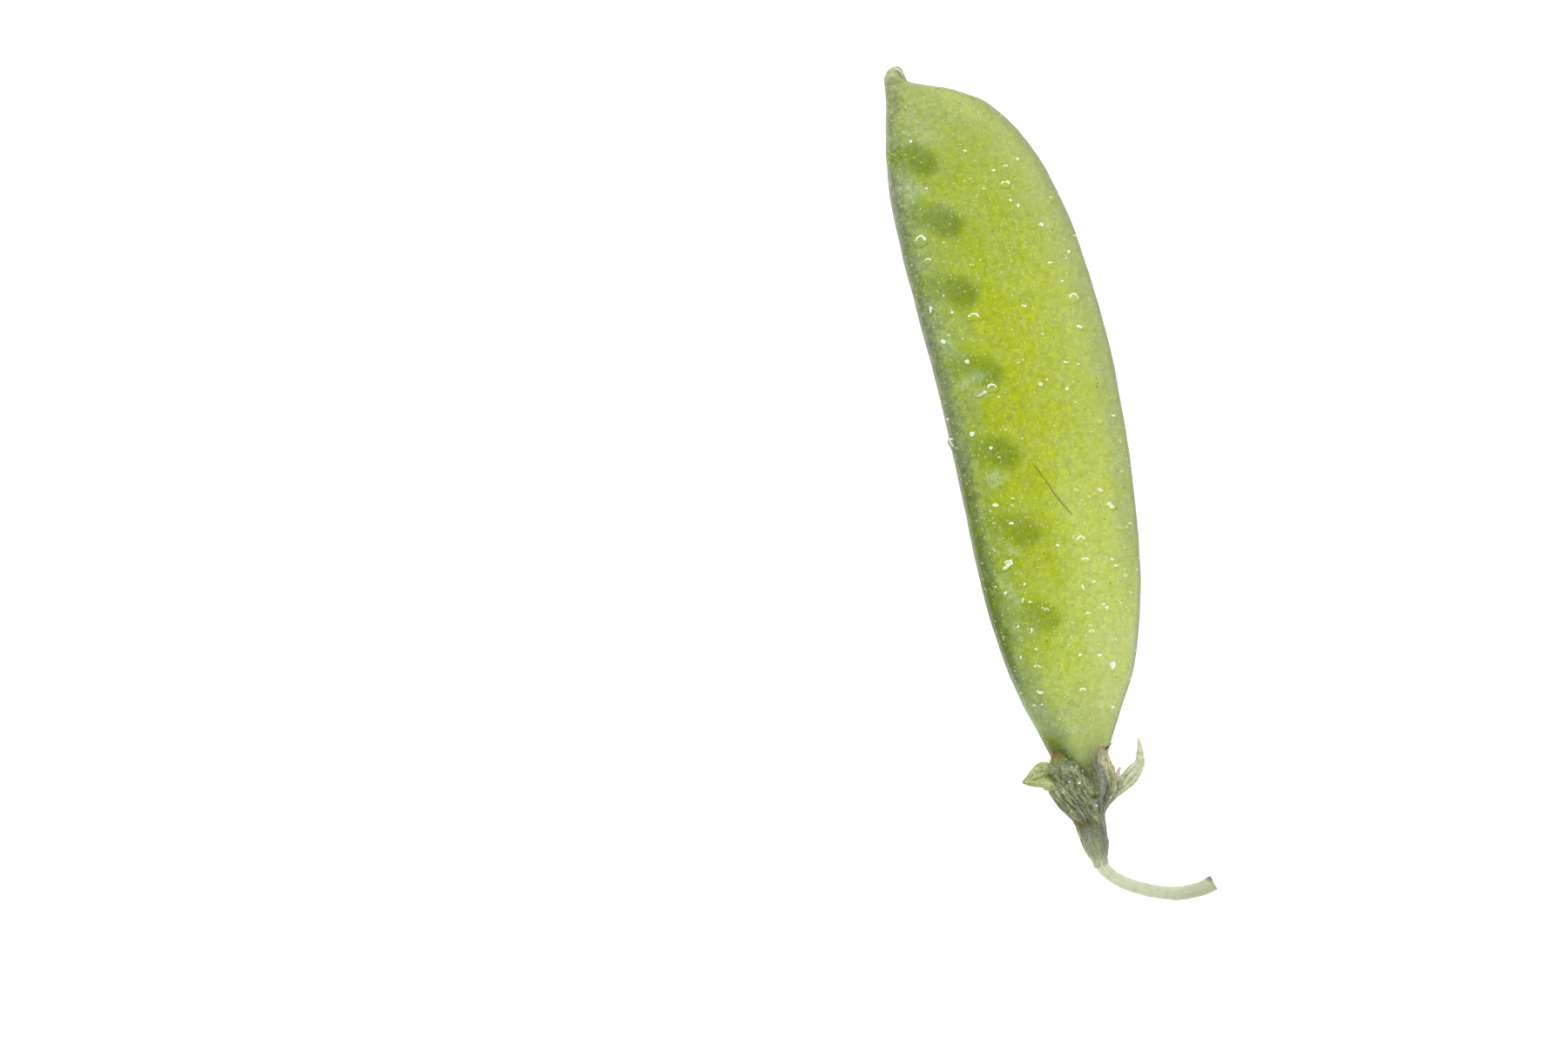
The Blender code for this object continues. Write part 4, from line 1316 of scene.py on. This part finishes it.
def tube_tree():
    tree, given = start_tree("tube_tree", sides=int, ridge_height=float, unevenness=float)
    share = add(tree, "GeometryNodeSplineParameter")
    line = store(given["start"], along_tube=share)
    turn = share * math.tau
    ring = add(tree, "GeometryNodeCurvePrimitiveCircle", {"Resolution": given["sides"], "Radius": 1})
    ring = store(ring, ring_x=turn.math("COSINE"), ring_y=turn.math("SINE"))
    wide = add(tree, "GeometryNodeInputRadius")
    inputs = {"Curve": line, "Profile Curve": ring, "Scale": wide, "Fill Caps": True}
    tube = add(tree, "GeometryNodeCurveToMesh", inputs)
    where = vector(tree, named(tree, "ring_x"), named(tree, "ring_y"), named(tree, "along_tube") * 2)
    ridges = (grain(where, 2.6, 2) - 0.5) * given["ridge_height"] * 2
    uneven = roughen(tube, ridges + lumps(tree, 0.9) * given["unevenness"] * 2)
    return end_tree(uneven, given["finish"])


def make_tube(name, points, tree, finish, **sizes):
    curve = bpy.data.curves.new(name, "CURVE")
    curve.dimensions = "3D"
    path = along_points(points, TUBE_STEPS * (len(points) - 1))
    line = curve.splines.new("POLY")
    line.points.add(len(path) - 1)
    for spot, (x, y, z, radius) in zip(line.points, path):
        spot.co = (x, y, z, 1.0)
        spot.radius = radius
    return grow(name, tree, curve, finish=finish, **sizes)


# ---- the studio

SKY_BRIGHTNESS = 1.0
FLOOR_GLOW = 0.5
FLOOR_WHITE = (0.94, 0.94, 0.94, 1.0)
FLOOR_HALF = 4.0
# Each round softbox: its name, its width, its power and where it is, in metres.
SOFTBOXES = (
    ("beak_softbox", 0.3, 1.5, (0.14, 0.5, 0.5)),
    ("ventral_softbox", 0.25, 0.8, (-0.5, 0.1, 0.5)),
)

# The camera looks straight down. Its middle is beside the pod, and it is turned a little.
CAMERA_MIDDLE = Vector((-0.0286, 0.0031))
CAMERA_HEIGHT = 0.4767
CAMERA_TURN = math.radians(-14.91)
CAMERA_LENS = 100.0
CAMERA_SENSOR = 36.0


def make_floor():
    build = bmesh.new()
    bmesh.ops.create_grid(build, x_segments=1, y_segments=1, size=FLOOR_HALF)
    finish, _ = start_finish(
        "pale_floor",
        base_color=FLOOR_WHITE,
        roughness=0.9,
        emission_color=FLOOR_WHITE,
        emission_strength=FLOOR_GLOW,
    )
    shown("floor", built(build, "floor", finish))


def make_light(name, size, power, where):
    """A round softbox that faces the pod."""
    data = bpy.data.lights.new(name, "AREA")
    data.shape = "DISK"
    data.size = size
    data.energy = power
    light = shown(name, data)
    light.location = where
    light.rotation_euler = Vector(where).to_track_quat("Z", "Y").to_euler()


def make_studio():
    world = bpy.data.worlds.new("studio")
    world.use_nodes = True
    sky = world.node_tree.nodes["Background"]
    sky.inputs["Color"].default_value = (1.0, 1.0, 1.0, 1.0)
    sky.inputs["Strength"].default_value = SKY_BRIGHTNESS
    bpy.context.scene.world = world
    bpy.context.scene.view_settings.view_transform = "Standard"
    for softbox in SOFTBOXES:
        make_light(*softbox)


def make_camera():
    data = bpy.data.cameras.new("camera")
    data.lens = CAMERA_LENS
    data.sensor_width = CAMERA_SENSOR
    data.clip_start = 0.01
    data.clip_end = 20.0
    camera = shown("camera", data)
    camera.location = (*CAMERA_MIDDLE, CAMERA_HEIGHT)
    camera.rotation_euler.z = CAMERA_TURN
    bpy.context.scene.camera = camera


# ---- putting it together


def settle(piece, slot, *nodes):
    """Says what a finished piece moves with, and hides the parts that it stands for. Its slot is not used."""
    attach(piece, "root")
    if nodes:
        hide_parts(*nodes)


def make_pod():
    skin = make_skin(skin_finish())
    drops = make_drops(skin, water_finish())
    settle(skin, "pod_skin", "pod_wall")
    settle(drops, "pod_skin")
    tree, finish = pea_tree(), pea_finish()
    for number in range(1, len(PEA_PLACES) + 1):
        settle(make_pea(number, tree, finish), "pea_skin", f"pea_{number}")


def make_calyx():
    settle(make_cup(cup_finish()), "calyx_green", "calyx_cup")
    for name, (shape, colours) in LOBES.items():
        finish = leaf_finish(name.removeprefix("sepal_") + "_leaf", **colours)
        settle(make_lobe(name, finish, **shape), "calyx_green", name)


def make_stalk():
    tree = tube_tree()
    stalk = make_tube("cut_stalk", STALK, tree, stalk_finish(), sides=48, ridge_height=0.05, unevenness=0.06)
    settle(stalk, "stalk_green", "stalk")
    dry = shred_finish("dry_style", (228, 226, 208), (176, 178, 156))
    style = make_tube("style_remnant", STYLE, tree, dry, sides=16, ridge_height=0.04, unevenness=0.06)
    settle(style, "dried_brown")
    pale = shred_finish("pale_shred", (228, 212, 204), (200, 178, 168), green_foot=0.9)
    dark = shred_finish("dark_shred", (120, 104, 96), (84, 70, 62))
    sizes = {"sides": 16, "ridge_height": 0.05, "unevenness": 0.1}
    for number, (points, finish) in enumerate(zip(SHREDS, (pale, dark)), 1):
        shred = make_tube(f"dry_shred_{number}", points, tree, finish, **sizes)
        settle(shred, "dried_brown", f"stamen_shred_{number}")


make_pod()
make_calyx()
make_stalk()
make_floor()
make_studio()
make_camera()
